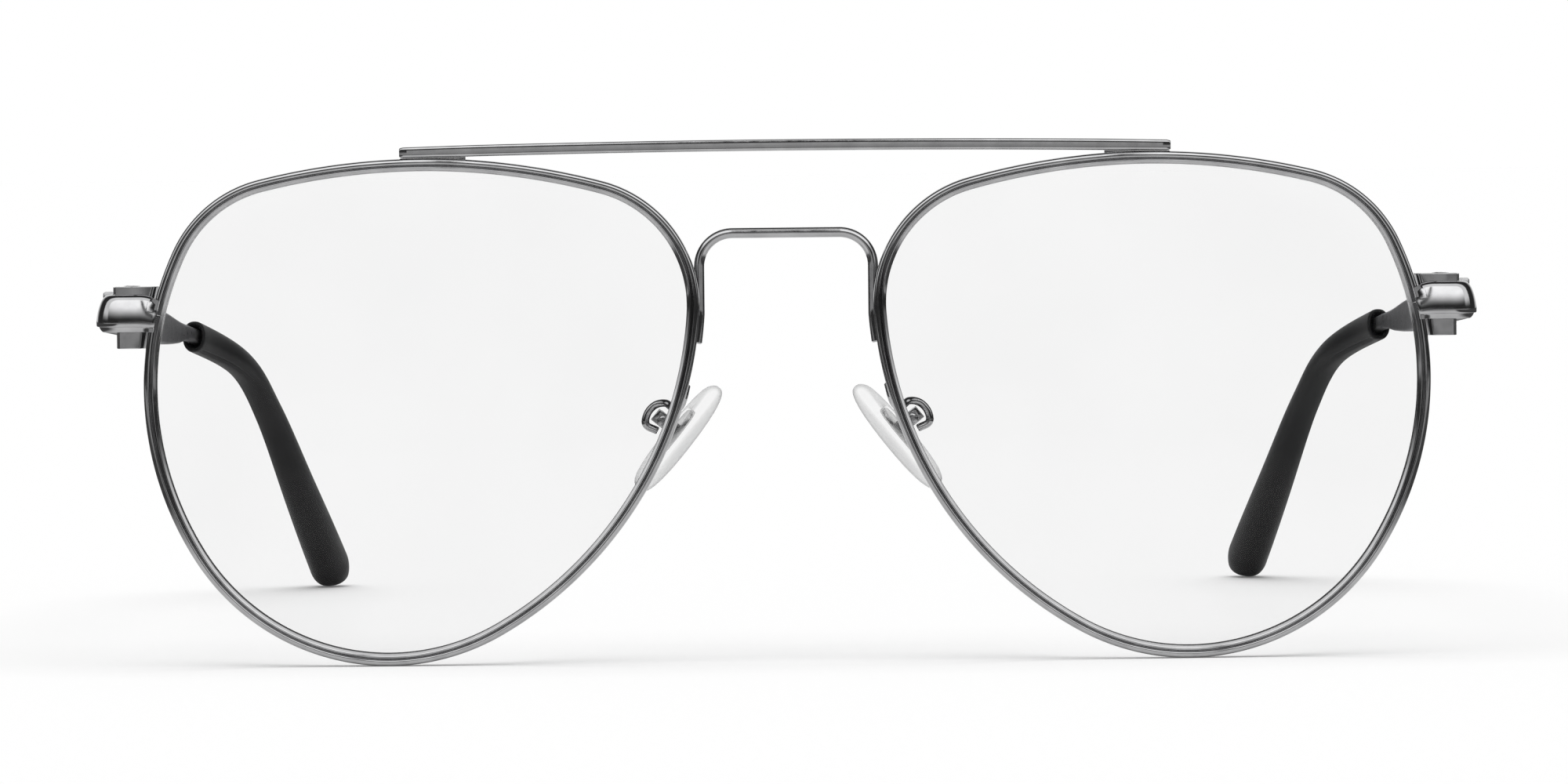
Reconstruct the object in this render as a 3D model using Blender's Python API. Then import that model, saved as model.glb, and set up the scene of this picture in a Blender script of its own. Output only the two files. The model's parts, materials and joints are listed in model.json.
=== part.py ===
"""Double-bridge aviator spectacles: grooved wire rims, folding temples, rocking nose pads.

Metres, +Z up. The lenses face -Y, the temples run back along +Y, and the frame stands on its
rims and tips with z = 0 under them. Right and left are the wearer's, so right is at -X.
"""

import math

import bmesh
import bpy
from mathutils import Matrix, Vector

# Boxed lens sizes
LENS_WIDTH = 0.0550
LENS_HEIGHT = 0.0500
LENS_GAP = 0.0190
LENS_THICKNESS = 0.0016
LENS_PLAY = 0.0001
FRONT_CURVE = 0.1300

# Lens outline, tangent arcs from the nose side over the crown to the temple side and round
OUTLINE_HEADING = 164.7
CROWN_TURN = 29.0
TEMPLE_CORNER_RADIUS = 0.0123
TEMPLE_CORNER_TURN = 51.5
TEMPLE_SIDE_RADIUS = 0.0323
TEMPLE_SIDE_TURN = 56.5
BOTTOM_RADIUS = 0.0224
BOTTOM_TURN = 88.0
NOSE_FLANK_TURN = 56.5
NOSE_CORNER_RADIUS = 0.0124
OUTLINE_STEP = 0.0036
OUTLINE_STEP_TURN = 9.5

# Rim wire
RIM_LIP = 0.0006
RIM_WALL = 0.0007
RIM_DEPTH = 0.0019
RIM_CREASE = 0.00016
RIM_CREASE_WIDTH = 0.0003
RIM_SPLIT_GAP = 0.00015
SPLIT_RISE = 0.0101

# Gap left at a brazed seam
SEAM_GAP = 0.0001

# Brow bar and its feet
BAR_SPAN = 0.0780
BAR_HEIGHT = 0.0012
BAR_END_HEIGHT = 0.0011
BAR_DEPTH = 0.0017
BAR_ARCH = 0.0004
FOOT_HEIGHT = 0.0001
FOOT_SEAM = 0.00002
FOOT_LENGTH = 0.0066
FOOT_DEPTH = 0.0011

# Bridge wire
BRIDGE_WIRE = 0.00105
BRIDGE_RISE = 0.0178
BRIDGE_CORNER = 0.0034
BRIDGE_LEG_RISE = 0.0067
BRIDGE_TANGENT_RISE = 0.0096

# Closing blocks and screw at each rim's split
BLOCK_ABOVE = 0.0029
BLOCK_BELOW = 0.0034
BLOCK_DEPTH = 0.0031
BLOCK_FRONT = 0.0001
BLOCK_EDGE = 0.0005
BLOCK_FREE_GAP = 0.0003
CLOSING_SHANK = 0.0012
CLOSING_HEAD = 0.0019
CLOSING_HEAD_HEIGHT = 0.0006
SCREW_PLAY = 0.0001

# Endpiece
END_REACH = 0.0057
END_LAP = 0.0006
END_LAP_GAP = 0.00015
END_LAP_EDGE = 0.00015
END_THICKNESS = 0.0016
END_HEIGHT = 0.0038
END_RISE = 0.0002
END_NECK_HEIGHT = 0.0031
END_NECK_LENGTH = 0.0022
END_BEND = 0.0007
END_LENGTH = 0.0076

# Hinge
HINGE_OFFSET = 0.0014
BARREL_RADIUS = 0.0012
BARREL_HEIGHT = 0.0013
BARREL_GAP = 0.00015
BARREL_START = 10.0
HINGE_PIN = 0.0011
HINGE_HEAD = 0.0020
HINGE_HEAD_HEIGHT = 0.0005
LEAF_THICKNESS = 0.0007
LEAF_BLOCK_GAP = 0.0003
TEMPLE_LEAF_LENGTH = 0.0048
BUTT_GAP = 0.0003

# Temple blade and core wire, distances are measured back from the hinge
TEMPLE_THICKNESS = 0.0012
TEMPLE_FRONT_HEIGHT = 0.0042
TEMPLE_BACK_HEIGHT = 0.0036
TEMPLE_STRAIGHT = 0.0570
TEMPLE_LENGTH = 0.0893
TEMPLE_DROP = 0.0046
TEMPLE_TOE_IN = 0.0010
CORE_HEIGHT = 0.0016
CORE_THICKNESS = 0.0013
CORE_INSERT = 0.0115
CORE_PLAY = 0.00015

# Tip
TIP_REACH = 0.0408
TIP_INWARD = 0.0133
TIP_MOUTH_HEIGHT = 0.0036
TIP_MOUTH_WIDTH = 0.0027
TIP_WAIST_HEIGHT = 0.0030
TIP_WAIST_WIDTH = 0.0032
TIP_WAIST_SHARE = 0.4
TIP_END_HEIGHT = 0.0052
TIP_END_WIDTH = 0.0047
TIP_FLOOR = 0.00105
TIP_LIP = 0.0002
TIP_LIP_ROLL = 0.0007
TIP_FLARE = 0.7
TIP_FLARE_DEPTH = 0.0014

# Nose pad, its core and the box that it rocks in
PAD_LENGTH = 0.0134
PAD_WIDTH = 0.0074
PAD_FRONT_FACE = 0.0010
PAD_BULGE = 0.0012
PAD_FLARE = 39.0
PAD_SPLAY = 9.0
PAD_RISE = -0.0028
PAD_OUTSET = 0.0014
PAD_SETBACK = 0.0066
PAD_STEM = 0.0023
PAD_SLIDE = 0.0005
POCKET_LENGTH = 0.0064
POCKET_WIDTH = 0.0038
POCKET_DEPTH = 0.0006
LUG_THICKNESS = 0.0008
LUG_WIDTH = 0.0014
PAD_SCREW = 0.0007
PAD_SCREW_HEAD = 0.0012
PAD_SCREW_HEAD_HEIGHT = 0.0004
CHEEK_THICKNESS = 0.0005
CHEEK_GAP = 0.0001
BOX_WIDTH = 0.0014
BOX_REACH = 0.0008
BOX_BACK = 0.0008
BOX_BASE = 0.0003

# Pad arm
ARM_WIRE = 0.0008
ARM_FOOT_LOW = 0.0007
ARM_FOOT_HIGH = 0.0026
ARM_LOOP_OUT = 0.00155
ARM_LOOP_ALONG = 0.00175
ARM_LOOP_SHIFT = 0.00025
ARM_TAIL = -0.0002

# Facets round the small turned pieces
ROUND_STEPS = 14
WIRE_STEPS = 8


def remove_old_objects():
    for old in list(bpy.data.objects):
        bpy.data.objects.remove(old, do_unlink=True)


def make_material(name, colour, roughness, metallic, alpha=1.0):
    made = bpy.data.materials.new(name)
    made.use_nodes = True
    shader = made.node_tree.nodes["Principled BSDF"]
    shader.inputs["Base Color"].default_value = (*colour, 1.0)
    shader.inputs["Roughness"].default_value = roughness
    shader.inputs["Metallic"].default_value = metallic
    shader.inputs["Alpha"].default_value = alpha
    return made


def make_anchor(name, location, parent=None):
    anchor = bpy.data.objects.new(name, None)
    anchor.location = location
    anchor.parent = parent
    anchor.empty_display_size = 0.005
    bpy.context.collection.objects.link(anchor)
    return anchor


def mesh_object(name, shape):
    """Turns a bmesh into an object with its faces pointing out."""
    bmesh.ops.recalc_face_normals(shape, faces=shape.faces)
    mesh = bpy.data.meshes.new(name)
    shape.to_mesh(mesh)
    shape.free()
    made = bpy.data.objects.new(name, mesh)
    bpy.context.collection.objects.link(made)
    return made


def add_node(name, shape, material, parent, pivot):
    """Adds one piece: its mesh is written about the pivot that its parent stands on."""
    bmesh.ops.translate(shape, verts=shape.verts, vec=-pivot)
    made = mesh_object(name, shape)
    made.data.materials.append(material)
    made.data.shade_smooth()
    made.data.set_sharp_from_angle(angle=math.radians(32.0))
    made.parent = parent
    return made


def combine(base, others, operation):
    """Joins other shapes to the base, or cuts them from it, and returns one shape."""
    base_object = mesh_object("working_base", base)
    helpers = []
    for other in others:
        helper = mesh_object("working_tool", other)
        helpers.append(helper)
        step = base_object.modifiers.new("step", "BOOLEAN")
        step.operation = operation
        step.solver = "EXACT"
        step.object = helper
    graph = bpy.context.evaluated_depsgraph_get()
    result = bmesh.new()
    result.from_mesh(base_object.evaluated_get(graph).to_mesh())
    for used in [base_object, *helpers]:
        bpy.data.objects.remove(used, do_unlink=True)
    bmesh.ops.remove_doubles(result, verts=result.verts, dist=1e-8)
    return result


def loft(rings):
    """Closed skin through rings with the same number of points, capped at both ends."""
    shape = bmesh.new()
    made = []
    for ring in rings:
        made.append([shape.verts.new(point) for point in ring])
    for near, far in zip(made, made[1:]):
        count = len(near)
        for i in range(count):
            j = (i + 1) % count
            shape.faces.new((near[i], near[j], far[j], far[i]))
    shape.faces.new(made[0])
    shape.faces.new(made[-1])
    return shape


def sleeve(outer_rings, inner_rings):
    """Skin open at its first ring into a blind bore that the inner rings line."""
    shape = bmesh.new()
    chain = [*reversed(outer_rings), *inner_rings]
    made = []
    for ring in chain:
        made.append([shape.verts.new(point) for point in ring])
    for near, far in zip(made, made[1:]):
        count = len(near)
        for i in range(count):
            j = (i + 1) % count
            shape.faces.new((near[i], near[j], far[j], far[i]))
    shape.faces.new(made[0])
    shape.faces.new(made[-1])
    return shape


def pierced(low_plan, high_plan, low, high, centre, bore):
    """Upright block with a stepped bore, given as (radius, height) pairs from the bottom up.

    Both plans have one point for each bore point, at the same angle round the centre.
    """
    shape = bmesh.new()
    rings = [[(x, y, high) for x, y in high_plan], [(x, y, low) for x, y in low_plan]]
    for radius, height in bore:
        ring = []
        for x, y in low_plan:
            angle = math.atan2(y - centre[1], x - centre[0])
            ring.append((centre[0] + radius * math.cos(angle), centre[1] + radius * math.sin(angle), height))
        rings.append(ring)
    made = []
    for ring in rings:
        made.append([shape.verts.new(point) for point in ring])
    made.append(made[0])
    for near, far in zip(made, made[1:]):
        count = len(near)
        for i in range(count):
            j = (i + 1) % count
            shape.faces.new((near[i], near[j], far[j], far[i]))
    return shape


def turned(profile, place):
    """Solid of revolution about the place's Z axis from (radius, height) pairs."""
    rings = []
    for radius, height in profile:
        ring = []
        for i in range(ROUND_STEPS):
            angle = 2.0 * math.pi * i / ROUND_STEPS
            ring.append(place @ Vector((radius * math.cos(angle), radius * math.sin(angle), height)))
        rings.append(ring)
    return loft(rings)


def prism(outline, low, high, place):
    """Extrudes a flat outline along the place's Z axis."""
    rings = []
    for height in (low, high):
        rings.append([place @ Vector((x, y, height)) for x, y in outline])
    return loft(rings)


def cut_box(x0, x1, y0, y1, edge):
    """Plan of a box with its four corners cut off."""
    return [
        (x0 + edge, y0),
        (x1 - edge, y0),
        (x1, y0 + edge),
        (x1, y1 - edge),
        (x1 - edge, y1),
        (x0 + edge, y1),
        (x0, y1 - edge),
        (x0, y0 + edge),
    ]


def oval(half_x, half_y, power, count):
    """Rounded-rectangle outline: a superellipse."""
    points = []
    for i in range(count):
        angle = 2.0 * math.pi * (i + 0.5) / count
        c = math.cos(angle)
        s = math.sin(angle)
        x = half_x * math.copysign(abs(c) ** (2.0 / power), c)
        y = half_y * math.copysign(abs(s) ** (2.0 / power), s)
        points.append((x, y))
    return points


def smooth_path(points, steps):
    """Curve through the points, with steps segments between each pair."""
    knots = [Vector(p) for p in points]
    knots = [2.0 * knots[0] - knots[1], *knots, 2.0 * knots[-1] - knots[-2]]
    path = []
    for k in range(1, len(knots) - 2):
        a, b, c, d = knots[k - 1 : k + 3]
        for i in range(steps):
            t = i / steps
            spot = 2.0 * b
            spot += (c - a) * t
            spot += (2.0 * a - 5.0 * b + 4.0 * c - d) * t * t
            spot += (3.0 * b - a - 3.0 * c + d) * t * t * t
            path.append(0.5 * spot)
    path.append(knots[-2])
    return path


def headings(path):
    """Unit direction at each point of a path."""
    found = []
    for i in range(len(path)):
        before = path[max(i - 1, 0)]
        after = path[min(i + 1, len(path) - 1)]
        found.append((after - before).normalized())
    return found


def wire(path, diameter):
    """Round wire along a path, its section carried along without twist."""
    ways = headings(path)
    side = ways[0].orthogonal().normalized()
    rings = []
    for spot, way in zip(path, ways):
        side = (side - way * side.dot(way)).normalized()
        up = way.cross(side)
        ring = []
        for i in range(WIRE_STEPS):
            angle = 2.0 * math.pi * i / WIRE_STEPS
            ring.append(spot + 0.5 * diameter * (math.cos(angle) * side + math.sin(angle) * up))
        rings.append(ring)
    return loft(rings)


class Outline:
    """Lens edge of one eye: x grows toward the nose, z up, boxed centre at zero."""

    def __init__(self):
        turns = [CROWN_TURN, TEMPLE_CORNER_TURN, TEMPLE_SIDE_TURN, BOTTOM_TURN, NOSE_FLANK_TURN]
        turns.append(360.0 - sum(turns))
        radii = [0.0, TEMPLE_CORNER_RADIUS, TEMPLE_SIDE_RADIUS, BOTTOM_RADIUS, 0.0, NOSE_CORNER_RADIUS]
        # the crown and the nose flank take the radii that close the chain
        moves = []
        heading = math.radians(OUTLINE_HEADING)
        for turn in turns:
            after = heading + math.radians(turn)
            moves.append((math.sin(after) - math.sin(heading), math.cos(heading) - math.cos(after)))
            heading = after
        gap_x = -sum(r * m[0] for r, m in zip(radii, moves))
        gap_z = -sum(r * m[1] for r, m in zip(radii, moves))
        crown = moves[0]
        flank = moves[4]
        scale = crown[0] * flank[1] - flank[0] * crown[1]
        radii[0] = (gap_x * flank[1] - flank[0] * gap_z) / scale
        radii[4] = (crown[0] * gap_z - gap_x * crown[1]) / scale
        # points along the chain
        spots = []
        heading = math.radians(OUTLINE_HEADING)
        x = 0.0
        z = 0.0
        for radius, turn in zip(radii, turns):
            by_length = math.ceil(radius * math.radians(turn) / OUTLINE_STEP)
            count = max(by_length, math.ceil(turn / OUTLINE_STEP_TURN))
            for i in range(count):
                way = heading + math.radians(turn) * i / count
                px = x + radius * (math.sin(way) - math.sin(heading))
                pz = z + radius * (math.cos(heading) - math.cos(way))
                spots.append((px, pz))
            after = heading + math.radians(turn)
            x += radius * (math.sin(after) - math.sin(heading))
            z += radius * (math.cos(heading) - math.cos(after))
            heading = after
        # fitted to the boxed width and height
        low_x = min(p[0] for p in spots)
        high_x = max(p[0] for p in spots)
        low_z = min(p[1] for p in spots)
        high_z = max(p[1] for p in spots)
        self.spots = []
        for px, pz in spots:
            fx = ((px - low_x) / (high_x - low_x) - 0.5) * LENS_WIDTH
            fz = ((pz - low_z) / (high_z - low_z) - 0.5) * LENS_HEIGHT
            self.spots.append(Vector((fx, fz)))

    def outward(self, k):
        """Outward direction at spot k."""
        count = len(self.spots)
        along = self.spots[(k + 1) % count] - self.spots[(k - 1) % count]
        return Vector((along.y, -along.x)).normalized()

    def crossing(self, axis, value, nose_side=None, top=None, offset=0.0):
        """Place, as spot and fraction, where one coordinate takes a value that far outside the outline."""
        count = len(self.spots)
        other = 1 - axis
        for k in range(count):
            a = self.at((k, 0.0), offset)
            b = self.at((k + 1, 0.0), offset)
            if (a[axis] - value) * (b[axis] - value) > 0.0:
                continue
            part = (value - a[axis]) / (b[axis] - a[axis])
            level = a[other] + (b[other] - a[other]) * part
            if nose_side is not None and (level > 0.0) != nose_side:
                continue
            if top is not None and (level > 0.0) != top:
                continue
            return k, part
        return 0, 0.0

    def at(self, place, offset):
        """Point that far outside the outline at a place on it."""
        k, part = place
        count = len(self.spots)
        a = self.spots[k % count] + offset * self.outward(k)
        b = self.spots[(k + 1) % count] + offset * self.outward(k + 1)
        return a.lerp(b, part)


OUTLINE = Outline()
LENS_CENTRE_X = 0.5 * (LENS_GAP + LENS_WIDTH)
LENS_CENTRE_Z = 0.5 * LENS_HEIGHT + RIM_WALL


def curve_depth(x, z):
    """Depth of the curved front at a place in an eye, zero a boxed half height out."""
    far = math.sqrt(FRONT_CURVE**2 - (0.5 * LENS_HEIGHT) ** 2)
    return far - math.sqrt(FRONT_CURVE**2 - x * x - z * z)


def eye_point(side, flat, depth=0.0):
    """World point of a place in an eye, with an extra depth behind the curved front."""
    y = curve_depth(flat.x, flat.y) + depth
    return Vector((side * (LENS_CENTRE_X - flat.x), y, LENS_CENTRE_Z + flat.y))


def rim_side(z, offset):
    """How far out the temple side stands at a height, that far outside the lens edge."""
    place = OUTLINE.crossing(1, z - LENS_CENTRE_Z, nose_side=False, offset=offset)
    return LENS_CENTRE_X - OUTLINE.at(place, offset).x


SPLIT_PLACE = OUTLINE.crossing(1, SPLIT_RISE, nose_side=False)
SPLIT_Z = LENS_CENTRE_Z + SPLIT_RISE
SPLIT_EDGE = eye_point(1.0, OUTLINE.at(SPLIT_PLACE, 0.0))
RIM_SIDE_X = rim_side(SPLIT_Z, RIM_WALL)
OUT_X = RIM_SIDE_X + END_REACH
END_Z = SPLIT_Z + END_RISE
BUTT_Y = SPLIT_EDGE.y + END_LENGTH
HINGE_Y = BUTT_Y + 0.5 * BUTT_GAP
ARM_IN_X = OUT_X - END_THICKNESS
TEMPLE_IN_X = OUT_X - TEMPLE_THICKNESS
HINGE_X = min(ARM_IN_X, TEMPLE_IN_X) - HINGE_OFFSET
BARREL_STACK = 3.0 * BARREL_HEIGHT + 2.0 * BARREL_GAP


def rim_shape(side):
    """Grooved wire swept once round the lens, open at the split."""
    half = 0.5 * RIM_DEPTH
    groove = 0.65 * half
    crease = 0.5 * RIM_CREASE_WIDTH
    soft = 0.3 * RIM_WALL
    section = [
        (RIM_WALL, -0.5 * half),
        (RIM_WALL, 0.5 * half),
        (RIM_WALL - soft, half),
        (-RIM_LIP, half),
        (-RIM_LIP, groove),
        (LENS_PLAY, 0.0),
        (-RIM_LIP, -groove),
        (-RIM_LIP, -half),
        (-crease, -half),
        (0.0, -half + RIM_CREASE),
        (crease, -half),
        (RIM_WALL - soft, -half),
    ]
    count = len(OUTLINE.spots)
    k, part = SPLIT_PLACE
    a = OUTLINE.spots[k]
    b = OUTLINE.spots[(k + 1) % count]
    half_gap = 0.5 * RIM_SPLIT_GAP / (b - a).length
    places = []
    if part + half_gap < 0.8:
        places.append((k, part + half_gap))
    else:
        places.append((k + 1, part + half_gap - 1.0 if part + half_gap > 1.0 else 0.0))
    first = k + 1 if places[0][0] == k else k + 2
    last = k if part - half_gap > 0.2 else k - 1
    for spot in range(first, last + count + 1):
        places.append((spot, 0.0))
    if part - half_gap > 0.0:
        places.append((k + count, part - half_gap))
    else:
        places.append((k - 1 + count, 1.0 + part - half_gap))
    rings = []
    for place in places:
        base = OUTLINE.at((place[0] % count, place[1]), 0.0)
        depth = curve_depth(base.x, base.y)
        ring = []
        for out, back in section:
            flat = OUTLINE.at((place[0] % count, place[1]), out)
            x = side * (LENS_CENTRE_X - flat.x)
            ring.append(Vector((x, depth + back, LENS_CENTRE_Z + flat.y)))
        rings.append(ring)
    return loft(rings)


def lens_shape(side):
    """Meniscus lens whose bevel stands in the rim's groove."""
    half = 0.5 * LENS_THICKNESS
    inset = -(RIM_LIP + LENS_PLAY)
    shelf = 0.5 * RIM_DEPTH * 0.65 - 1.5 * LENS_PLAY
    count = len(OUTLINE.spots)

    def ring_at(share, thickness, offset=inset):
        ring = []
        for k in range(count):
            edge = OUTLINE.at((k, 0.0), 0.0)
            flat = OUTLINE.at((k, 0.0), offset) * share
            level = curve_depth(edge.x, edge.y) if share == 1.0 else curve_depth(flat.x, flat.y)
            x = side * (LENS_CENTRE_X - flat.x)
            ring.append(Vector((x, level + thickness, LENS_CENTRE_Z + flat.y)))
        return ring

    shares = (0.07, 0.28, 0.62, 1.0)
    rings = [ring_at(share, -half) for share in shares]
    rings.append(ring_at(1.0, -shelf))
    rings.append(ring_at(1.0, 0.0, -LENS_PLAY))
    rings.append(ring_at(1.0, shelf))
    rings.extend(ring_at(share, half) for share in reversed(shares))
    return loft(rings)


def rim_top(x):
    """Height of the rim's top over a place across the front, and the front's depth there."""
    place = OUTLINE.crossing(0, LENS_CENTRE_X - x, top=True)
    flat = OUTLINE.at(place, RIM_WALL)
    edge = OUTLINE.at(place, 0.0)
    return LENS_CENTRE_Z + flat.y, curve_depth(edge.x, edge.y)


def bar_section(x):
    """Underside of the brow bar above the underside of its ends, and its height there."""
    share = 1.0 - (2.0 * x / BAR_SPAN) ** 2
    height = BAR_END_HEIGHT + (BAR_HEIGHT - BAR_END_HEIGHT) * min(1.0, 3.0 * share)
    return BAR_ARCH * share - 0.5 * (height - BAR_END_HEIGHT), height


def bar_seat():
    """Level of the ends' underside at which the bar clears the rims' crowns by the foot height."""
    steps = 24
    level = 0.0
    for i in range(steps + 1):
        x = 0.5 * BAR_SPAN - 2.0 * FOOT_LENGTH * i / steps
        level = max(level, rim_top(x)[0] - bar_section(x)[0])
    return level + FOOT_HEIGHT


BAR_BASE_Z = bar_seat()
BAR_Y = rim_top(0.5 * BAR_SPAN - 0.5 * FOOT_LENGTH)[1]


def bar_levels(x):
    """Underside and top of the brow bar at a place across the front."""
    rise, height = bar_section(x)
    low = BAR_BASE_Z + rise
    return low, low + height


def brow_bar_shape():
    stations = 18
    rings = []
    for i in range(stations + 1):
        x = BAR_SPAN * (i / stations - 0.5)
        low, high = bar_levels(x)
        ring = []
        for across, up in oval(0.5 * BAR_DEPTH, 0.5 * (high - low), 3.0, WIRE_STEPS):
            ring.append(Vector((x, BAR_Y + across, 0.5 * (low + high) + up)))
        rings.append(ring)
    return loft(rings)


def bar_foot_shape(side):
    """Low block shaped to the rim below it and the bar above it."""
    stations = 5
    outer = 0.5 * BAR_SPAN - SEAM_GAP
    rings = []
    for i in range(stations + 1):
        x = outer - FOOT_LENGTH * i / stations
        low = rim_top(x)[0] + FOOT_SEAM
        high = bar_levels(x)[0] - FOOT_SEAM
        ring = []
        for across, z in ((-0.5, low), (0.5, low), (0.5, high), (-0.5, high)):
            ring.append(Vector((side * x, BAR_Y + across * FOOT_DEPTH, z)))
        rings.append(ring)
    return loft(rings)


def bridge_shape():
    """Bent wire whose legs lie behind the nose side of both rims."""
    behind = 0.5 * RIM_DEPTH + 0.5 * BRIDGE_WIRE + SEAM_GAP
    leg = []
    for i in range(4):
        rise = BRIDGE_LEG_RISE + (BRIDGE_TANGENT_RISE - BRIDGE_LEG_RISE) * i / 3
        place = OUTLINE.crossing(1, rise, nose_side=True)
        leg.append(eye_point(1.0, OUTLINE.at(place, RIM_WALL), behind))
    crest_z = LENS_CENTRE_Z + BRIDGE_RISE
    leg_x = leg[-1].x
    leg_y = leg[-1].y
    for i in range(7):
        angle = 0.5 * math.pi * i / 6
        x = leg_x - BRIDGE_CORNER * (1.0 - math.cos(angle))
        z = crest_z - BRIDGE_CORNER * (1.0 - math.sin(angle))
        leg.append(Vector((x, leg_y, z)))
    mirrored = [Vector((-p.x, p.y, p.z)) for p in reversed(leg)]
    return wire([*leg, *mirrored], BRIDGE_WIRE)


BLOCK_OUT_X = ARM_IN_X - SEAM_GAP
BLOCK_Y0 = SPLIT_EDGE.y + BLOCK_FRONT + SEAM_GAP
BLOCK_Y1 = BLOCK_Y0 + BLOCK_DEPTH
CLOSING_X = 0.5 * (RIM_SIDE_X + BLOCK_OUT_X)
CLOSING_Y = 0.5 * (BLOCK_Y0 + BLOCK_Y1)


def block_plan(side, z, x1, y0):
    """Cut-cornered plan at a height, its inner face at the rim, met by rays from the screw's axis."""
    corners = cut_box(rim_side(z, RIM_WALL + SEAM_GAP), x1, y0, BLOCK_Y1, BLOCK_EDGE)
    points = []
    for i in range(ROUND_STEPS):
        angle = 2.0 * math.pi * (i + 0.5) / ROUND_STEPS
        ray = Vector((math.cos(angle), math.sin(angle)))
        reach = 1.0
        for k in range(len(corners)):
            a = Vector(corners[k])
            b = Vector(corners[(k + 1) % len(corners)])
            normal = Vector((b.y - a.y, a.x - b.x)).normalized()
            toward = normal.dot(ray)
            if toward > 1e-6:
                reach = min(reach, normal.dot(a - Vector((CLOSING_X, CLOSING_Y))) / toward)
        points.append((side * (CLOSING_X + reach * ray.x), CLOSING_Y + reach * ray.y))
    return points


def upper_block_shape(side):
    low = SPLIT_Z + 0.5 * RIM_SPLIT_GAP
    high = SPLIT_Z + BLOCK_ABOVE
    radius = 0.5 * CLOSING_SHANK + SCREW_PLAY
    low_plan = block_plan(side, low, BLOCK_OUT_X, BLOCK_Y0)
    high_plan = block_plan(side, high, BLOCK_OUT_X, BLOCK_Y0)
    bore = [(radius, low), (radius, high)]
    return pierced(low_plan, high_plan, low, high, (side * CLOSING_X, CLOSING_Y), bore)


def lower_block_shape(side):
    low = SPLIT_Z - BLOCK_BELOW
    high = SPLIT_Z - 0.5 * RIM_SPLIT_GAP
    shank = 0.5 * CLOSING_SHANK + SCREW_PLAY
    head = 0.5 * CLOSING_HEAD + SCREW_PLAY
    seat = low + CLOSING_HEAD_HEIGHT + SCREW_PLAY
    low_plan = block_plan(side, low, BLOCK_OUT_X - BLOCK_FREE_GAP, BLOCK_Y0 + BLOCK_FREE_GAP)
    high_plan = block_plan(side, high, BLOCK_OUT_X - BLOCK_FREE_GAP, BLOCK_Y0 + BLOCK_FREE_GAP)
    bore = [(head, low), (head, seat), (shank, seat), (shank, high)]
    return pierced(low_plan, high_plan, low, high, (side * CLOSING_X, CLOSING_Y), bore)


def closing_screw_shape(side):
    low = SPLIT_Z - BLOCK_BELOW
    high = SPLIT_Z + BLOCK_ABOVE - SCREW_PLAY
    head = 0.5 * CLOSING_HEAD
    shank = 0.5 * CLOSING_SHANK
    seat = low + CLOSING_HEAD_HEIGHT
    place = Matrix.Translation((side * CLOSING_X, CLOSING_Y, 0.0))
    return turned([(head, low), (head, seat), (shank, seat), (shank, high)], place)


def endpiece_shape(side):
    """Half-round strip that laps the rim, turns the corner and runs back to the hinge."""
    section = [
        (0.0, -0.50),
        (0.50, -0.50),
        (0.66, -0.38),
        (0.90, -0.25),
        (1.0, -0.04),
        (0.94, 0.20),
        (0.72, 0.40),
        (0.44, 0.50),
        (0.0, 0.50),
    ]
    y_in = SPLIT_EDGE.y + BLOCK_FRONT
    lap_y = SPLIT_EDGE.y - 0.5 * RIM_DEPTH - END_LAP_GAP
    start_x = rim_side(END_Z, RIM_WALL - END_LAP)
    bend_x = ARM_IN_X - END_BEND
    base = END_Z - 0.5 * END_HEIGHT
    lap_end = RIM_WALL + END_LAP_GAP
    clear = RIM_WALL + 3.0 * END_LAP_GAP
    rings = []
    # over the rim and out to the bend, the inner end leaning with the rim
    stations = [(RIM_WALL - END_LAP, 0.0), (lap_end, 0.0)]
    stations.extend((clear, share) for share in (0.0, 0.4, 0.75, 1.0))
    for offset, share in stations:
        near = rim_side(END_Z, offset)
        grown = min(1.0, (near + (bend_x - near) * share - start_x) / END_NECK_LENGTH)
        height = END_NECK_HEIGHT + (END_HEIGHT - END_NECK_HEIGHT) * grown
        ring = []
        for out, up in section:
            z = base + (up + 0.5) * height
            edge = rim_side(z, offset)
            depth = y_in - out * END_THICKNESS
            if offset < clear:
                depth = min(depth, lap_y - END_LAP_EDGE) if out > 0.0 else lap_y
            ring.append(Vector((side * (edge + (bend_x - edge) * share), depth, z)))
        rings.append(ring)
    stops = []
    for i in range(1, 5):
        angle = 0.5 * math.pi * i / 5
        x = bend_x + END_BEND * math.sin(angle)
        y = y_in + END_BEND * (1.0 - math.cos(angle))
        stops.append((x, y, math.sin(angle), -math.cos(angle)))
    stops.append((ARM_IN_X, y_in + END_BEND, 1.0, 0.0))
    stops.append((ARM_IN_X, BUTT_Y, 1.0, 0.0))
    for x, y, out_x, out_y in stops:
        ring = []
        for out, up in section:
            reach = out * END_THICKNESS
            z = base + (up + 0.5) * END_HEIGHT
            ring.append(Vector((side * (x + out_x * reach), y + out_y * reach, z)))
        rings.append(ring)
    return loft(rings)


def knuckle_plan(leaf_x0, leaf_x1, leaf_y, direction):
    """Outline of a barrel with its leaf arm, about the hinge axis."""
    points = []
    start = math.radians(BARREL_START)
    sweep = 2.0 * math.pi - math.acos(min(1.0, leaf_x0 / BARREL_RADIUS)) - start
    for i in range(ROUND_STEPS + 1):
        angle = start + sweep * i / ROUND_STEPS
        points.append((BARREL_RADIUS * math.cos(angle), BARREL_RADIUS * math.sin(angle)))
    points.append((leaf_x0, -leaf_y))
    points.append((leaf_x1, -leaf_y))
    points.append((leaf_x1, -0.1 * BARREL_RADIUS))
    return [(x, direction * y) for x, y in points]


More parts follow.
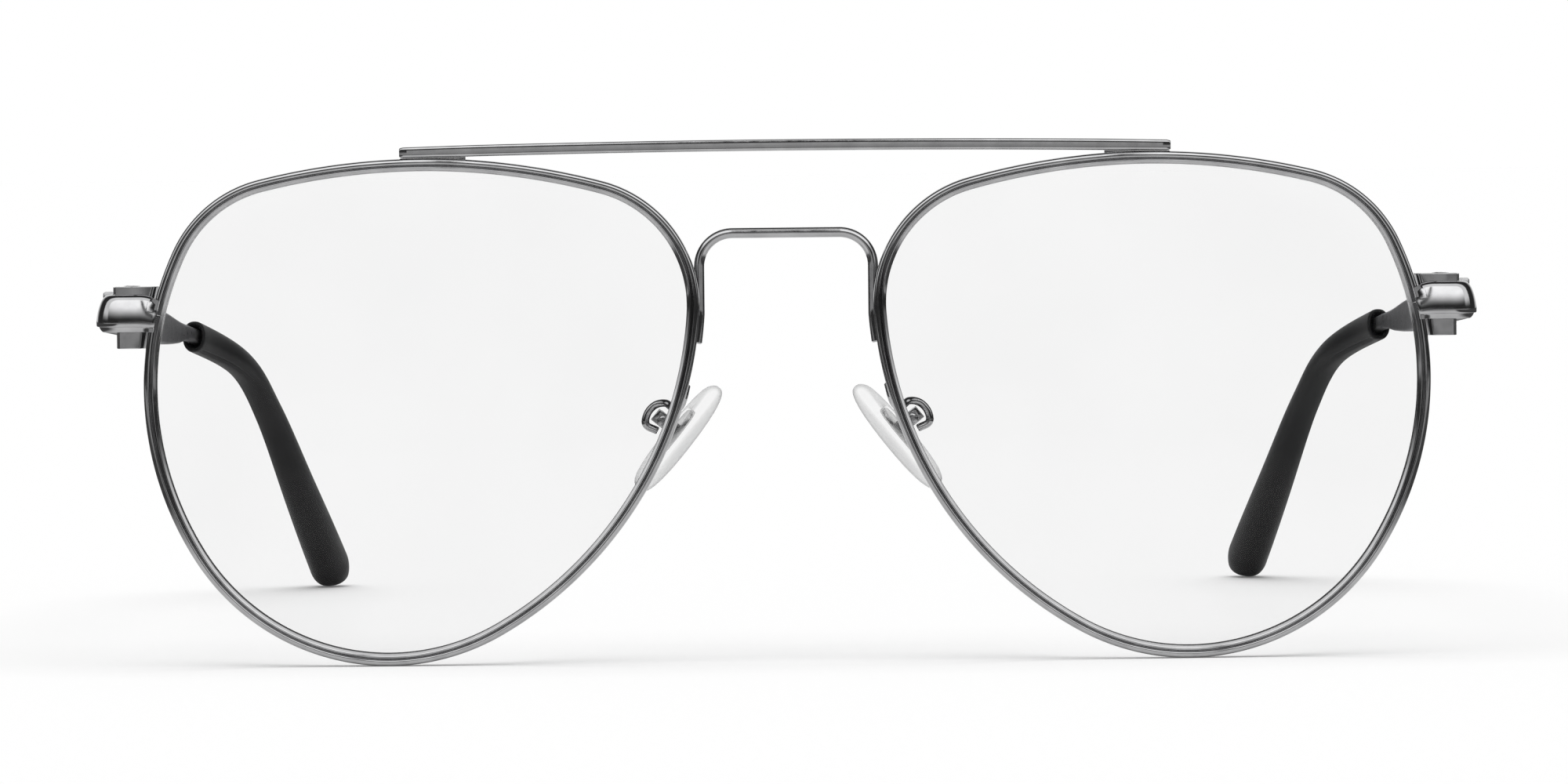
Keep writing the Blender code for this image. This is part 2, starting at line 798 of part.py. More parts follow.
def hinge_leaf_shape(side, toward_front):
    """Flat leaf with its barrels: two for the front, one for the temple."""
    face = ARM_IN_X if toward_front else TEMPLE_IN_X
    x1 = face - SEAM_GAP - HINGE_X
    x0 = x1 - LEAF_THICKNESS
    clear = BARREL_RADIUS + BARREL_GAP
    front_length = HINGE_Y - clear - BLOCK_Y1 - LEAF_BLOCK_GAP
    length = front_length if toward_front else TEMPLE_LEAF_LENGTH
    direction = 1.0 if toward_front else -1.0
    bottom = END_Z - 0.5 * BARREL_STACK
    pitch = BARREL_HEIGHT + BARREL_GAP
    place = Matrix.Translation((side * HINGE_X, HINGE_Y, 0.0))
    plate_plan = [(x0, -clear), (x1, -clear), (x1, -clear - length), (x0, -clear - length)]
    plate = prism([(side * x, direction * y) for x, y in plate_plan], bottom, bottom + BARREL_STACK, place)
    barrels = []
    for level in ((0, 2) if toward_front else (1,)):
        low = bottom + level * pitch
        plan = knuckle_plan(x0, x1, clear + 0.3 * length, direction)
        barrels.append(prism([(side * x, y) for x, y in plan], low, low + BARREL_HEIGHT, place))
    joined = combine(plate, barrels, "UNION")
    bore = 0.5 * HINGE_PIN + SCREW_PLAY
    drill = turned([(bore, bottom - BARREL_GAP), (bore, bottom + BARREL_STACK + BARREL_GAP)], place)
    return combine(joined, [drill], "DIFFERENCE")


def hinge_screw_shape(side):
    bottom = END_Z - 0.5 * BARREL_STACK
    seat = bottom + BARREL_STACK + SEAM_GAP
    pin = 0.5 * HINGE_PIN
    head = 0.5 * HINGE_HEAD
    top = seat + HINGE_HEAD_HEIGHT
    place = Matrix.Translation((side * HINGE_X, HINGE_Y, 0.0))
    shoulder = top - 0.3 * HINGE_HEAD_HEIGHT
    profile = [(pin, bottom), (pin, seat), (head, seat), (head, shoulder), (0.8 * head, top)]
    return turned(profile, place)


TEMPLE_Y = BUTT_Y + BUTT_GAP
TEMPLE_X = OUT_X - 0.5 * TEMPLE_THICKNESS
MOUTH = Vector((TEMPLE_X - TEMPLE_TOE_IN, TEMPLE_Y + TEMPLE_LENGTH, END_Z - TEMPLE_DROP))
TIP_END = Vector((MOUTH.x - TIP_INWARD, MOUTH.y + TIP_REACH, TIP_FLOOR))


def blade_knots():
    """Centre line of the blade from the butt to the tip's mouth."""
    knots = []
    for share in (0.0, 0.33, 0.66, 1.0):
        y = TEMPLE_Y + TEMPLE_STRAIGHT * share
        knots.append(Vector((TEMPLE_X, y, END_Z - 0.62 * TEMPLE_DROP * share)))
    knots.append(knots[-1].lerp(MOUTH, 0.5) + Vector((0.25 * TEMPLE_TOE_IN, 0.0, 0.0)))
    knots.append(MOUTH)
    return knots


def tip_knots():
    """Centre line of the tip: in and back at first, then steeply down to the floor."""
    span = TIP_END - MOUTH
    knots = [MOUTH]
    for in_share, back_share, down_share in ((0.34, 0.29, 0.12), (0.54, 0.49, 0.32), (0.77, 0.74, 0.66)):
        knots.append(MOUTH + Vector((span.x * in_share, span.y * back_share, span.z * down_share)))
    knots.append(TIP_END)
    return knots


def whole_line():
    """Smooth line of temple and tip together, and the index where the tip begins."""
    before = blade_knots()
    steps = 4
    path = smooth_path([*before, *tip_knots()[1:]], steps)
    return path, steps * (len(before) - 1)


LINE, MOUTH_INDEX = whole_line()
LINE_WAYS = headings(LINE)


def cross_axes(way):
    """Sideways and upward directions square to a way that runs mostly back."""
    across = (Vector((1.0, 0.0, 0.0)) - way * way.x).normalized()
    return across, across.cross(way)


def blade_ring(side, spot, across, up, thickness, height):
    edge = 0.25 * min(thickness, height)
    ring = []
    for a, b in cut_box(-0.5 * thickness, 0.5 * thickness, -0.5 * height, 0.5 * height, edge):
        point = spot + a * across + b * up
        ring.append(Vector((side * point.x, point.y, point.z)))
    return ring


def core_depth_stations():
    """Points of the line inside the tip that the core wire reaches."""
    travelled = 0.0
    stations = []
    for i in range(MOUTH_INDEX, len(LINE) - 1):
        if travelled > CORE_INSERT:
            break
        stations.append(i)
        travelled += (LINE[i + 1] - LINE[i]).length
    return stations


def temple_shape(side):
    """Flat blade, straight at first, narrowing to the core wire that the tip covers."""
    rings = []
    straight_end = TEMPLE_Y + TEMPLE_STRAIGHT
    for i in range(MOUTH_INDEX + 1):
        spot = LINE[i]
        share = min(1.0, (spot.y - TEMPLE_Y) / TEMPLE_STRAIGHT)
        height = TEMPLE_FRONT_HEIGHT + (TEMPLE_BACK_HEIGHT - TEMPLE_FRONT_HEIGHT) * share
        thickness = TEMPLE_THICKNESS
        if spot.y > straight_end:
            late = (spot.y - straight_end) / (MOUTH.y - straight_end)
            height += (CORE_HEIGHT - TEMPLE_BACK_HEIGHT) * ease(late)
            thickness += (CORE_THICKNESS - TEMPLE_THICKNESS) * ease(late)
        if spot.y <= straight_end:
            across = Vector((1.0, 0.0, 0.0))
            up = Vector((0.0, 0.0, 1.0))
            spot = Vector((TEMPLE_X, spot.y, spot.z))
        else:
            across, up = cross_axes(LINE_WAYS[i])
        rings.append(blade_ring(side, spot, across, up, thickness, height))
    for i in core_depth_stations()[1:]:
        across, up = cross_axes(LINE_WAYS[i])
        rings.append(blade_ring(side, LINE[i], across, up, CORE_THICKNESS, CORE_HEIGHT))
    return loft(rings)


def ease(t):
    """Smooth step from zero to one."""
    return t * t * (3.0 - 2.0 * t)


def tip_size(share, mouth, waist, end):
    """Size across a tip that is slimmest at its waist."""
    if share < TIP_WAIST_SHARE:
        return mouth + (waist - mouth) * ease(share / TIP_WAIST_SHARE)
    return waist + (end - waist) * ease((share - TIP_WAIST_SHARE) / (1.0 - TIP_WAIST_SHARE))


def tip_ring(side, spot, way, width, height, power):
    across, up = cross_axes(way)
    ring = []
    for a, b in oval(0.5 * width, 0.5 * height, power, ROUND_STEPS):
        point = spot + a * across + b * up
        ring.append(Vector((side * point.x, point.y, point.z)))
    return ring


def tip_shape(side):
    """Moulded sleeve with a flared mouth, bored for the core wire, that widens toward a rounded end."""
    first = MOUTH_INDEX
    last = len(LINE) - 1
    outer = []
    way = LINE_WAYS[first]
    lip = LINE[first] + TIP_LIP * way
    outer.append(tip_ring(side, lip, way, 0.86 * TIP_MOUTH_WIDTH, 0.86 * TIP_MOUTH_HEIGHT, 2.3))
    lead = LINE[first] + TIP_LIP_ROLL * way
    outer.append(tip_ring(side, lead, way, TIP_MOUTH_WIDTH, TIP_MOUTH_HEIGHT, 2.3))
    for i in range(first + 1, last):
        share = (i - first) / (last - first)
        width = tip_size(share, TIP_MOUTH_WIDTH, TIP_WAIST_WIDTH, TIP_END_WIDTH)
        height = tip_size(share, TIP_MOUTH_HEIGHT, TIP_WAIST_HEIGHT, TIP_END_HEIGHT)
        outer.append(tip_ring(side, LINE[i], LINE_WAYS[i], width, height, 2.3))
    way = LINE_WAYS[last]
    for back, share in ((0.0, 0.98), (0.30, 0.86), (0.45, 0.62), (0.52, 0.30)):
        spot = LINE[last] + way * (back * TIP_END_HEIGHT - 0.5 * TIP_END_HEIGHT)
        width = TIP_END_WIDTH * (0.4 + 0.6 * share)
        outer.append(tip_ring(side, spot, way, width, TIP_END_HEIGHT * share, 2.3))
    inner = []
    bore_width = CORE_THICKNESS + 3.0 * CORE_PLAY
    bore_height = CORE_HEIGHT + 3.0 * CORE_PLAY
    stations = core_depth_stations()
    way = LINE_WAYS[first]
    inner.append(tip_ring(side, lip, way, TIP_FLARE * TIP_MOUTH_WIDTH, TIP_FLARE * TIP_MOUTH_HEIGHT, 2.3))
    inner.append(tip_ring(side, LINE[first] + TIP_FLARE_DEPTH * way, way, bore_width, bore_height, 4.0))
    for i in stations[1:]:
        inner.append(tip_ring(side, LINE[i], LINE_WAYS[i], bore_width, bore_height, 4.0))
    end = LINE[stations[-1]] + LINE_WAYS[stations[-1]] * 2.0 * CORE_PLAY
    inner.append(tip_ring(side, end, LINE_WAYS[stations[-1]], bore_width, bore_height, 4.0))
    return sleeve(outer, inner)


def pad_frames(side):
    """Places of the rocking box and of the pad: X out from the pad, Y back, Z up its length."""
    flare = math.radians(PAD_FLARE)
    centre_x = 0.5 * LENS_GAP + PAD_OUTSET
    place = curve_depth(0.5 * LENS_WIDTH, 0.0)
    centre = Vector((centre_x, place + PAD_SETBACK, LENS_CENTRE_Z + PAD_RISE))
    out = Vector((math.cos(flare), 0.0, math.sin(flare)))
    back = Vector((0.0, 1.0, 0.0))
    along = out.cross(back)
    hang = centre + out * PAD_STEM
    mirror = Matrix.Diagonal((side, 1.0, 1.0, 1.0))
    turn = Matrix((out, back, along)).transposed().to_4x4()
    box = mirror @ Matrix.Translation(hang) @ turn
    splay = Matrix.Rotation(-math.radians(PAD_SPLAY), 4, "Z")
    pad = mirror @ Matrix.Translation(centre - along * PAD_SLIDE) @ turn @ splay
    return box, pad


LIE_DOWN = Matrix.Rotation(math.radians(-90.0), 4, "X")
FACE_OUT = Matrix(((0.0, 0.0, 1.0, 0.0), (1.0, 0.0, 0.0, 0.0), (0.0, 1.0, 0.0, 0.0), (0.0, 0.0, 0.0, 1.0)))


def nose_pad_shape(side):
    """Soft oval pad, flat toward its stem and rounded toward the nose, with a pocket for its core."""
    place = pad_frames(side)[1] @ FACE_OUT
    rings = []
    levels = ((1.0, 0.86), (0.62, 0.97), (0.0, 1.0), (-0.5, 0.96), (-0.85, 0.80), (-1.0, 0.48))
    for level, share in levels:
        height = level * (PAD_FRONT_FACE if level > 0.0 else PAD_BULGE)
        ring = []
        for x, y in oval(0.5 * PAD_WIDTH * share, 0.5 * PAD_LENGTH * share, 2.2, 20):
            narrow = 1.0 - 0.10 * y / (0.5 * PAD_LENGTH)
            ring.append(place @ Vector((x * narrow, y, height)))
        rings.append(ring)
    body = loft(rings)
    outline = oval(0.5 * POCKET_WIDTH, 0.5 * POCKET_LENGTH, 3.0, ROUND_STEPS)
    pocket = prism(outline, PAD_FRONT_FACE - POCKET_DEPTH, PAD_FRONT_FACE + POCKET_DEPTH, place)
    return combine(body, [pocket], "DIFFERENCE")


def pad_core_shape(side):
    """Plate that lies in the pad's pocket, with a drilled lug standing on it."""
    box, pad = pad_frames(side)
    place = pad @ FACE_OUT
    play = 1.5 * SEAM_GAP
    outline = oval(0.5 * POCKET_WIDTH - play, 0.5 * POCKET_LENGTH - play, 3.0, ROUND_STEPS)
    floor = PAD_FRONT_FACE - POCKET_DEPTH + SEAM_GAP
    plate = prism(outline, floor, PAD_FRONT_FACE - SEAM_GAP, place)
    half = 0.5 * LUG_WIDTH
    lug_plan = [(PAD_FRONT_FACE - 0.5 * POCKET_DEPTH - PAD_STEM, half)]
    lug_plan.append((PAD_FRONT_FACE - 0.5 * POCKET_DEPTH - PAD_STEM, -half))
    for i in range(9):
        angle = math.pi * (i / 8 - 0.5)
        lug_plan.append((half * math.cos(angle), half * math.sin(angle)))
    lug = prism(lug_plan, -0.5 * LUG_THICKNESS, 0.5 * LUG_THICKNESS, box @ LIE_DOWN)
    joined = combine(plate, [lug], "UNION")
    radius = 0.5 * PAD_SCREW + SCREW_PLAY
    drill = turned([(radius, -LUG_THICKNESS), (radius, LUG_THICKNESS)], box @ LIE_DOWN)
    return combine(joined, [drill], "DIFFERENCE")


def pad_box_shape(side):
    """Channel with two drilled cheeks either side of the lug."""
    box = pad_frames(side)[0]
    inner = 0.5 * LUG_THICKNESS + CHEEK_GAP
    outer = inner + CHEEK_THICKNESS
    channel = [
        (-BOX_REACH, -outer),
        (BOX_BACK + BOX_BASE, -outer),
        (BOX_BACK + BOX_BASE, outer),
        (-BOX_REACH, outer),
        (-BOX_REACH, inner),
        (BOX_BACK, inner),
        (BOX_BACK, -inner),
        (-BOX_REACH, -inner),
    ]
    body = prism(channel, -0.5 * BOX_WIDTH, 0.5 * BOX_WIDTH, box)
    radius = 0.5 * PAD_SCREW + SCREW_PLAY
    drill = turned([(radius, -2.0 * outer), (radius, 2.0 * outer)], box @ LIE_DOWN)
    return combine(body, [drill], "DIFFERENCE")


def pad_screw_shape(side):
    """Screw from the front through both cheeks and the lug."""
    box = pad_frames(side)[0]
    outer = 0.5 * LUG_THICKNESS + CHEEK_GAP + CHEEK_THICKNESS
    shank = 0.5 * PAD_SCREW
    head = 0.5 * PAD_SCREW_HEAD
    seat = -outer - SEAM_GAP
    profile = [(0.8 * head, seat - PAD_SCREW_HEAD_HEIGHT), (head, seat - 0.6 * PAD_SCREW_HEAD_HEIGHT)]
    profile.extend([(head, seat), (shank, seat), (shank, outer)])
    return turned(profile, box @ LIE_DOWN)


def pad_arm_shape(side):
    """Wire brazed along the back of the rim, looping back round the box that it carries."""
    box = pad_frames(1.0)[0]
    behind = 0.5 * RIM_DEPTH + 0.5 * ARM_WIRE + SEAM_GAP
    knots = []
    for rise in (ARM_FOOT_HIGH, ARM_FOOT_LOW):
        place = OUTLINE.crossing(1, rise, nose_side=True)
        knots.append(eye_point(1.0, OUTLINE.at(place, 0.7 * RIM_WALL), behind))
    pivot = box.translation
    back = Vector((0.0, pivot.y - knots[-1].y, 0.0))
    out = (box.to_3x3() @ Vector((1.0, 0.0, 0.0))).normalized()
    along = (box.to_3x3() @ Vector((0.0, 0.0, 1.0))).normalized()
    # an open loop round the box, its end turned in to lie along the box's flank
    for angle, depth in ((105.0, 0.42), (65.0, 0.16), (25.0, 0.03), (-15.0, 0.0), (-55.0, 0.0)):
        way = math.radians(angle)
        across = ARM_LOOP_SHIFT + ARM_LOOP_OUT * math.cos(way)
        rise = ARM_LOOP_ALONG * math.sin(way)
        knots.append(pivot - depth * back + out * across + along * rise)
    flank = 0.5 * BOX_WIDTH + SEAM_GAP + 0.5 * ARM_WIRE
    knots.append(pivot + out * ARM_TAIL - along * flank)
    path = []
    for spot in smooth_path(knots, 4):
        path.append(Vector((side * spot.x, spot.y, spot.z)))
    return wire(path, ARM_WIRE)


def build():
    remove_old_objects()
    metal = make_material("polished_gunmetal", (0.36, 0.36, 0.38), 0.12, 1.0)
    screw_metal = make_material("screw_steel", (0.55, 0.55, 0.57), 0.20, 1.0)
    lens_clear = make_material("clear_lens", (0.95, 0.96, 0.97), 0.02, 0.0, 0.15)
    silicone = make_material("clear_silicone", (0.86, 0.88, 0.90), 0.25, 0.0, 0.55)
    core_steel = make_material("core_steel", (0.62, 0.62, 0.63), 0.30, 1.0)
    tip_black = make_material("matte_black_tip", (0.03, 0.03, 0.032), 0.55, 0.0)

    root = make_anchor("spectacles", (0.0, 0.0, 0.0))
    zero = Vector((0.0, 0.0, 0.0))
    add_node("brow_bar", brow_bar_shape(), metal, root, zero)
    add_node("bridge", bridge_shape(), metal, root, zero)
    for side, name in ((-1.0, "right"), (1.0, "left")):
        add_node(name + "_rim", rim_shape(side), metal, root, zero)
        add_node(name + "_lens", lens_shape(side), lens_clear, root, zero)
        add_node(name + "_bar_foot", bar_foot_shape(side), metal, root, zero)
        add_node(name + "_endpiece", endpiece_shape(side), metal, root, zero)
        add_node(name + "_upper_block", upper_block_shape(side), metal, root, zero)
        add_node(name + "_lower_block", lower_block_shape(side), metal, root, zero)
        add_node(name + "_closing_screw", closing_screw_shape(side), screw_metal, root, zero)
        add_node(name + "_front_leaf", hinge_leaf_shape(side, True), metal, root, zero)
        add_node(name + "_hinge_screw", hinge_screw_shape(side), screw_metal, root, zero)
        add_node(name + "_pad_arm", pad_arm_shape(side), metal, root, zero)
        add_node(name + "_pad_box", pad_box_shape(side), metal, root, zero)
        add_node(name + "_pad_screw", pad_screw_shape(side), screw_metal, root, zero)

        hinge = Vector((side * HINGE_X, HINGE_Y, END_Z))
        fold = make_anchor(name + "_temple_fold", hinge, root)
        add_node(name + "_temple_leaf", hinge_leaf_shape(side, False), metal, fold, hinge)
        add_node(name + "_temple", temple_shape(side), metal, fold, hinge)
        add_node(name + "_tip", tip_shape(side), tip_black, fold, hinge)

        hang = pad_frames(side)[0].translation
        rock = make_anchor(name + "_pad_rock", hang, root)
        add_node(name + "_pad_core", pad_core_shape(side), core_steel, rock, hang)
        add_node(name + "_nose_pad", nose_pad_shape(side), silicone, rock, hang)

    # the origin is put under the middle of the whole frame
    bpy.context.view_layer.update()
    depths = []
    floors = []
    for made in bpy.context.scene.objects:
        if made.type != "MESH":
            continue
        for vertex in made.data.vertices:
            spot = made.matrix_world @ vertex.co
            depths.append(spot.y)
            floors.append(spot.z)
    root.location = (0.0, -0.5 * (min(depths) + max(depths)), -min(floors))


build()
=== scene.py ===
"""Looks of the double-bridge spectacles: fine pieces, materials, studio and camera."""

import json
import math

import bmesh
import bpy
from mathutils import Matrix, Vector


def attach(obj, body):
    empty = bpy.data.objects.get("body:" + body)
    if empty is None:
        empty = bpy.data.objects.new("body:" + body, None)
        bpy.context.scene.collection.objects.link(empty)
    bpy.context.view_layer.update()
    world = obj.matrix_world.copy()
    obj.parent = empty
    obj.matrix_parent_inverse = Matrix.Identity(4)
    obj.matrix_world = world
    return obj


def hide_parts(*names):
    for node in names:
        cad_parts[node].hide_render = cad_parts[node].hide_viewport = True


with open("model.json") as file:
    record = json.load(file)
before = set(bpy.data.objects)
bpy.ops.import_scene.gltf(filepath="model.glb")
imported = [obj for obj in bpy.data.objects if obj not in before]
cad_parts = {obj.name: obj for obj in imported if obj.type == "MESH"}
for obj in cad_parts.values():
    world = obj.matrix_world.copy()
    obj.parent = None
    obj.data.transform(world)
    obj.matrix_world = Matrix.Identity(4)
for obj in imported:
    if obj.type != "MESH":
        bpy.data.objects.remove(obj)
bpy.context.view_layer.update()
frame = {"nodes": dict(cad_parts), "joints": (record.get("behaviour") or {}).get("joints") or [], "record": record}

# Sizes shared with the solids
LENS_WIDTH = 0.0550
LENS_HEIGHT = 0.0500
LENS_GAP = 0.0190
LENS_THICKNESS = 0.0016
LENS_PLAY = 0.0001
FRONT_CURVE = 0.1300
OUTLINE_HEADING = 164.7
CROWN_TURN = 29.0
TEMPLE_CORNER = (0.0123, 51.5)
TEMPLE_SIDE = (0.0323, 56.5)
BOTTOM = (0.0224, 88.0)
NOSE_FLANK_TURN = 56.5
NOSE_CORNER_RADIUS = 0.0124
RIM_LIP = 0.0006
RIM_WALL = 0.0007
RIM_DEPTH = 0.0019
RIM_SPLIT_GAP = 0.00015
SPLIT_RISE = 0.0101
SEAM_GAP = 0.0001
BAR_SPAN = 0.0780
BAR_HEIGHT = 0.0012
BAR_END_HEIGHT = 0.0011
BAR_DEPTH = 0.0017
BAR_ARCH = 0.0004
FOOT_SEAM = 0.00002
FOOT_LENGTH = 0.0066
FOOT_DEPTH = 0.0011
BRIDGE_WIRE = 0.00105
BRIDGE_RISE = 0.0178
BRIDGE_CORNER = 0.0034
BRIDGE_LEG_RISE = 0.0067
BRIDGE_TANGENT_RISE = 0.0096
BLOCK_ABOVE = 0.0029
BLOCK_BELOW = 0.0034
BLOCK_DEPTH = 0.0031
BLOCK_FRONT = 0.0001
CLOSING_SHANK = 0.0012
CLOSING_HEAD = 0.0019
CLOSING_HEAD_HEIGHT = 0.0006
SCREW_PLAY = 0.0001
END_REACH = 0.0057
END_LAP = 0.0006
END_LAP_GAP = 0.00015
END_LAP_EDGE = 0.00015
END_THICKNESS = 0.0016
END_HEIGHT = 0.0038
END_RISE = 0.0002
END_NECK_HEIGHT = 0.0031
END_NECK_LENGTH = 0.0022
END_BEND = 0.0007
END_LENGTH = 0.0076
HINGE_OFFSET = 0.0014
BARREL_HEIGHT = 0.0013
BARREL_GAP = 0.00015
HINGE_PIN = 0.0011
HINGE_HEAD = 0.0020
HINGE_HEAD_HEIGHT = 0.0005
BUTT_GAP = 0.0003
TEMPLE_THICKNESS = 0.0012
TEMPLE_FRONT_HEIGHT = 0.0042
TEMPLE_BACK_HEIGHT = 0.0036
TEMPLE_STRAIGHT = 0.0570
TEMPLE_LENGTH = 0.0893
TEMPLE_DROP = 0.0046
TEMPLE_TOE_IN = 0.0010
CORE_HEIGHT = 0.0016
CORE_THICKNESS = 0.0013
CORE_INSERT = 0.0115
CORE_PLAY = 0.00015
TIP_REACH = 0.0408
TIP_INWARD = 0.0133
TIP_MOUTH_HEIGHT = 0.0036
TIP_MOUTH_WIDTH = 0.0027
TIP_WAIST_HEIGHT = 0.0030
TIP_WAIST_WIDTH = 0.0032
TIP_WAIST_SHARE = 0.4
TIP_END_HEIGHT = 0.0052
TIP_END_WIDTH = 0.0047
TIP_FLOOR = 0.00105
TIP_LIP = 0.0002
TIP_LIP_ROLL = 0.0007
TIP_FLARE = 0.7
TIP_FLARE_DEPTH = 0.0014
PAD_LENGTH = 0.0134
PAD_WIDTH = 0.0074
PAD_FRONT_FACE = 0.0010
PAD_BULGE = 0.0012
PAD_FLARE = 39.0
PAD_SPLAY = 9.0
PAD_RISE = -0.0028
PAD_OUTSET = 0.0014
PAD_SETBACK = 0.0066
PAD_STEM = 0.0023
PAD_SLIDE = 0.0005
POCKET_LENGTH = 0.0064
POCKET_WIDTH = 0.0038
POCKET_DEPTH = 0.0006
LUG_THICKNESS = 0.0008
PAD_SCREW = 0.0007
PAD_SCREW_HEAD = 0.0012
PAD_SCREW_HEAD_HEIGHT = 0.0004
CHEEK_THICKNESS = 0.0005
CHEEK_GAP = 0.0001
BOX_WIDTH = 0.0014
ARM_WIRE = 0.0008
ARM_FOOT_LOW = 0.0007
ARM_FOOT_HIGH = 0.0026
ARM_LOOP_OUT = 0.00155
ARM_LOOP_ALONG = 0.00175
ARM_LOOP_SHIFT = 0.00025
ARM_TAIL = -0.0002

# Fineness of the pieces made here
MILLIMETRE = 0.001
FINE_STEP = 0.0007
FINE_TURN = 2.2
WIRE_STEPS = 28
ROUND_STEPS = 40
BAR_STEPS = 96
BAR_COUNT = 56
FOOT_STEPS = 24
FOOT_RISE_STEPS = 6
LEG_STEPS = 9
CORNER_STEPS = 24
BEND_STEPS = 16
TIP_COUNT = 56
TIP_END_STEPS = 12
PAD_COUNT = 72
PAD_CROWN_STEPS = 15
LINE_STEPS = 20
ARM_STEPS = 14

# Rolled edges, slots, pressed lines and tighter gaps, drawn here only
EDGE_BEVEL = 0.00009
WELD_DISTANCE = 1e-6
WIRE_END_ROLL = 0.12
WIRE_END_SIZE = 0.78
SPLIT_SHARE = 0.15
BAR_FILL = 0.495
BAR_SQUARENESS = 5.0
FOOT_HEIGHT = 0.00006
FOOT_HOLLOW = 0.22
LENS_POLISH = 0.00002
SLOT_HALF_WIDTH = 0.14
SLOT_REACH = 1.5
SLOT_OVER = 0.0003
CLOSING_SLOT = 0.00028
CLOSING_TURN = 0.5
HINGE_SLOT = 0.00026
HINGE_TURN = 0.9
PAD_SLOT = 0.00022
PAD_SLOT_OVER = 0.0002
END_ROLL = 0.00015
END_ROLL_SIZE = 0.92
TEMPLE_ROLL = 0.00018
TEMPLE_ROLL_SIZE = 0.86
TEMPLE_EDGE = 0.25
TIP_SQUARENESS = 2.3
TIP_CREASE = 0.0002
TIP_CREASE_ANGLE = -62.0
TIP_CREASE_SPREAD = 7.0
TIP_CREASE_REACH = 0.42
BORE_SQUARENESS = 4.0
PAD_SQUARENESS = 2.2
PAD_NARROWING = 0.10
POCKET_SQUARENESS = 3.0
POCKET_ROLL = 0.00008

# Angles, in degrees, past which an edge is drawn sharp
SHARP = 38.0
BAND_SHARP = 50.0
LENS_SHARP = 30.0
SOFT_SHARP = 60.0
SOLID_SHARP = 40.0


def loft(rings, start_cap=True, end_cap=True):
    """Skin through rings with the same number of points."""
    shape = bmesh.new()
    made = [[shape.verts.new(point) for point in ring] for ring in rings]
    for near, far in zip(made, made[1:]):
        count = len(near)
        for i in range(count):
            j = (i + 1) % count
            shape.faces.new((near[i], near[j], far[j], far[i]))
    if start_cap:
        shape.faces.new(made[0])
    if end_cap:
        shape.faces.new(made[-1])
    return shape


def mesh_object(name, shape):
    bmesh.ops.recalc_face_normals(shape, faces=shape.faces)
    mesh = bpy.data.meshes.new(name)
    shape.to_mesh(mesh)
    shape.free()
    made = bpy.data.objects.new(name, mesh)
    bpy.context.scene.collection.objects.link(made)
    return made


def cut_from(base, tool):
    """Base shape with the tool cut out of it."""
    base_object = mesh_object("working_base", base)
    tool_object = mesh_object("working_tool", tool)
    step = base_object.modifiers.new("cut", "BOOLEAN")
    step.operation = "DIFFERENCE"
    step.solver = "EXACT"
    step.object = tool_object
    graph = bpy.context.evaluated_depsgraph_get()
    result = bmesh.new()
    result.from_mesh(base_object.evaluated_get(graph).to_mesh())
    for used in (base_object, tool_object):
        bpy.data.objects.remove(used, do_unlink=True)
    return result


def smooth_path(points, steps):
    """Curve through the points, with steps segments between each pair."""
    knots = [Vector(p) for p in points]
    knots = [2.0 * knots[0] - knots[1], *knots, 2.0 * knots[-1] - knots[-2]]
    path = []
    for k in range(1, len(knots) - 2):
        a, b, c, d = knots[k - 1 : k + 3]
        for i in range(steps):
            t = i / steps
            spot = 2.0 * b + (c - a) * t
            spot += (2.0 * a - 5.0 * b + 4.0 * c - d) * t * t
            spot += (3.0 * b - a - 3.0 * c + d) * t * t * t
            path.append(0.5 * spot)
    path.append(knots[-2])
    return path


def headings(path):
    found = []
    for i in range(len(path)):
        before = path[max(i - 1, 0)]
        after = path[min(i + 1, len(path) - 1)]
        found.append((after - before).normalized())
    return found


def wire(path, diameter, round_ends=True):
    """Round wire along a path, with softened ends."""
    ways = headings(path)
    side = ways[0].orthogonal().normalized()
    stations = [(spot, way, 1.0) for spot, way in zip(path, ways)]
    if round_ends:
        soft = WIRE_END_ROLL * diameter
        stations.insert(0, (path[0], ways[0], WIRE_END_SIZE))
        stations[1] = (path[0] + soft * ways[0], ways[0], 1.0)
        stations.append((path[-1], ways[-1], WIRE_END_SIZE))
        stations[-2] = (path[-1] - soft * ways[-1], ways[-1], 1.0)
    rings = []
    for spot, way, size in stations:
        side = (side - way * side.dot(way)).normalized()
        up = way.cross(side)
        ring = []
        for i in range(WIRE_STEPS):
            angle = 2.0 * math.pi * i / WIRE_STEPS
            ring.append(spot + 0.5 * size * diameter * (math.cos(angle) * side + math.sin(angle) * up))
        rings.append(ring)
    return loft(rings)


def oval(half_x, half_y, power, count):
    points = []
    for i in range(count):
        angle = 2.0 * math.pi * (i + 0.5) / count
        c = math.cos(angle)
        s = math.sin(angle)
        x = half_x * math.copysign(abs(c) ** (2.0 / power), c)
        y = half_y * math.copysign(abs(s) ** (2.0 / power), s)
        points.append((x, y))
    return points


def soft_box(half_x, half_y, radius, steps=6):
    """Rectangle with round corners."""
    points = []
    for quarter, (sx, sy) in enumerate(((1, 1), (-1, 1), (-1, -1), (1, -1))):
        for i in range(steps + 1):
            angle = 0.5 * math.pi * (quarter + i / steps)
            x = sx * (half_x - radius) + radius * math.cos(angle)
            y = sy * (half_y - radius) + radius * math.sin(angle)
            points.append((x, y))
    return points


def ease(t):
    return t * t * (3.0 - 2.0 * t)


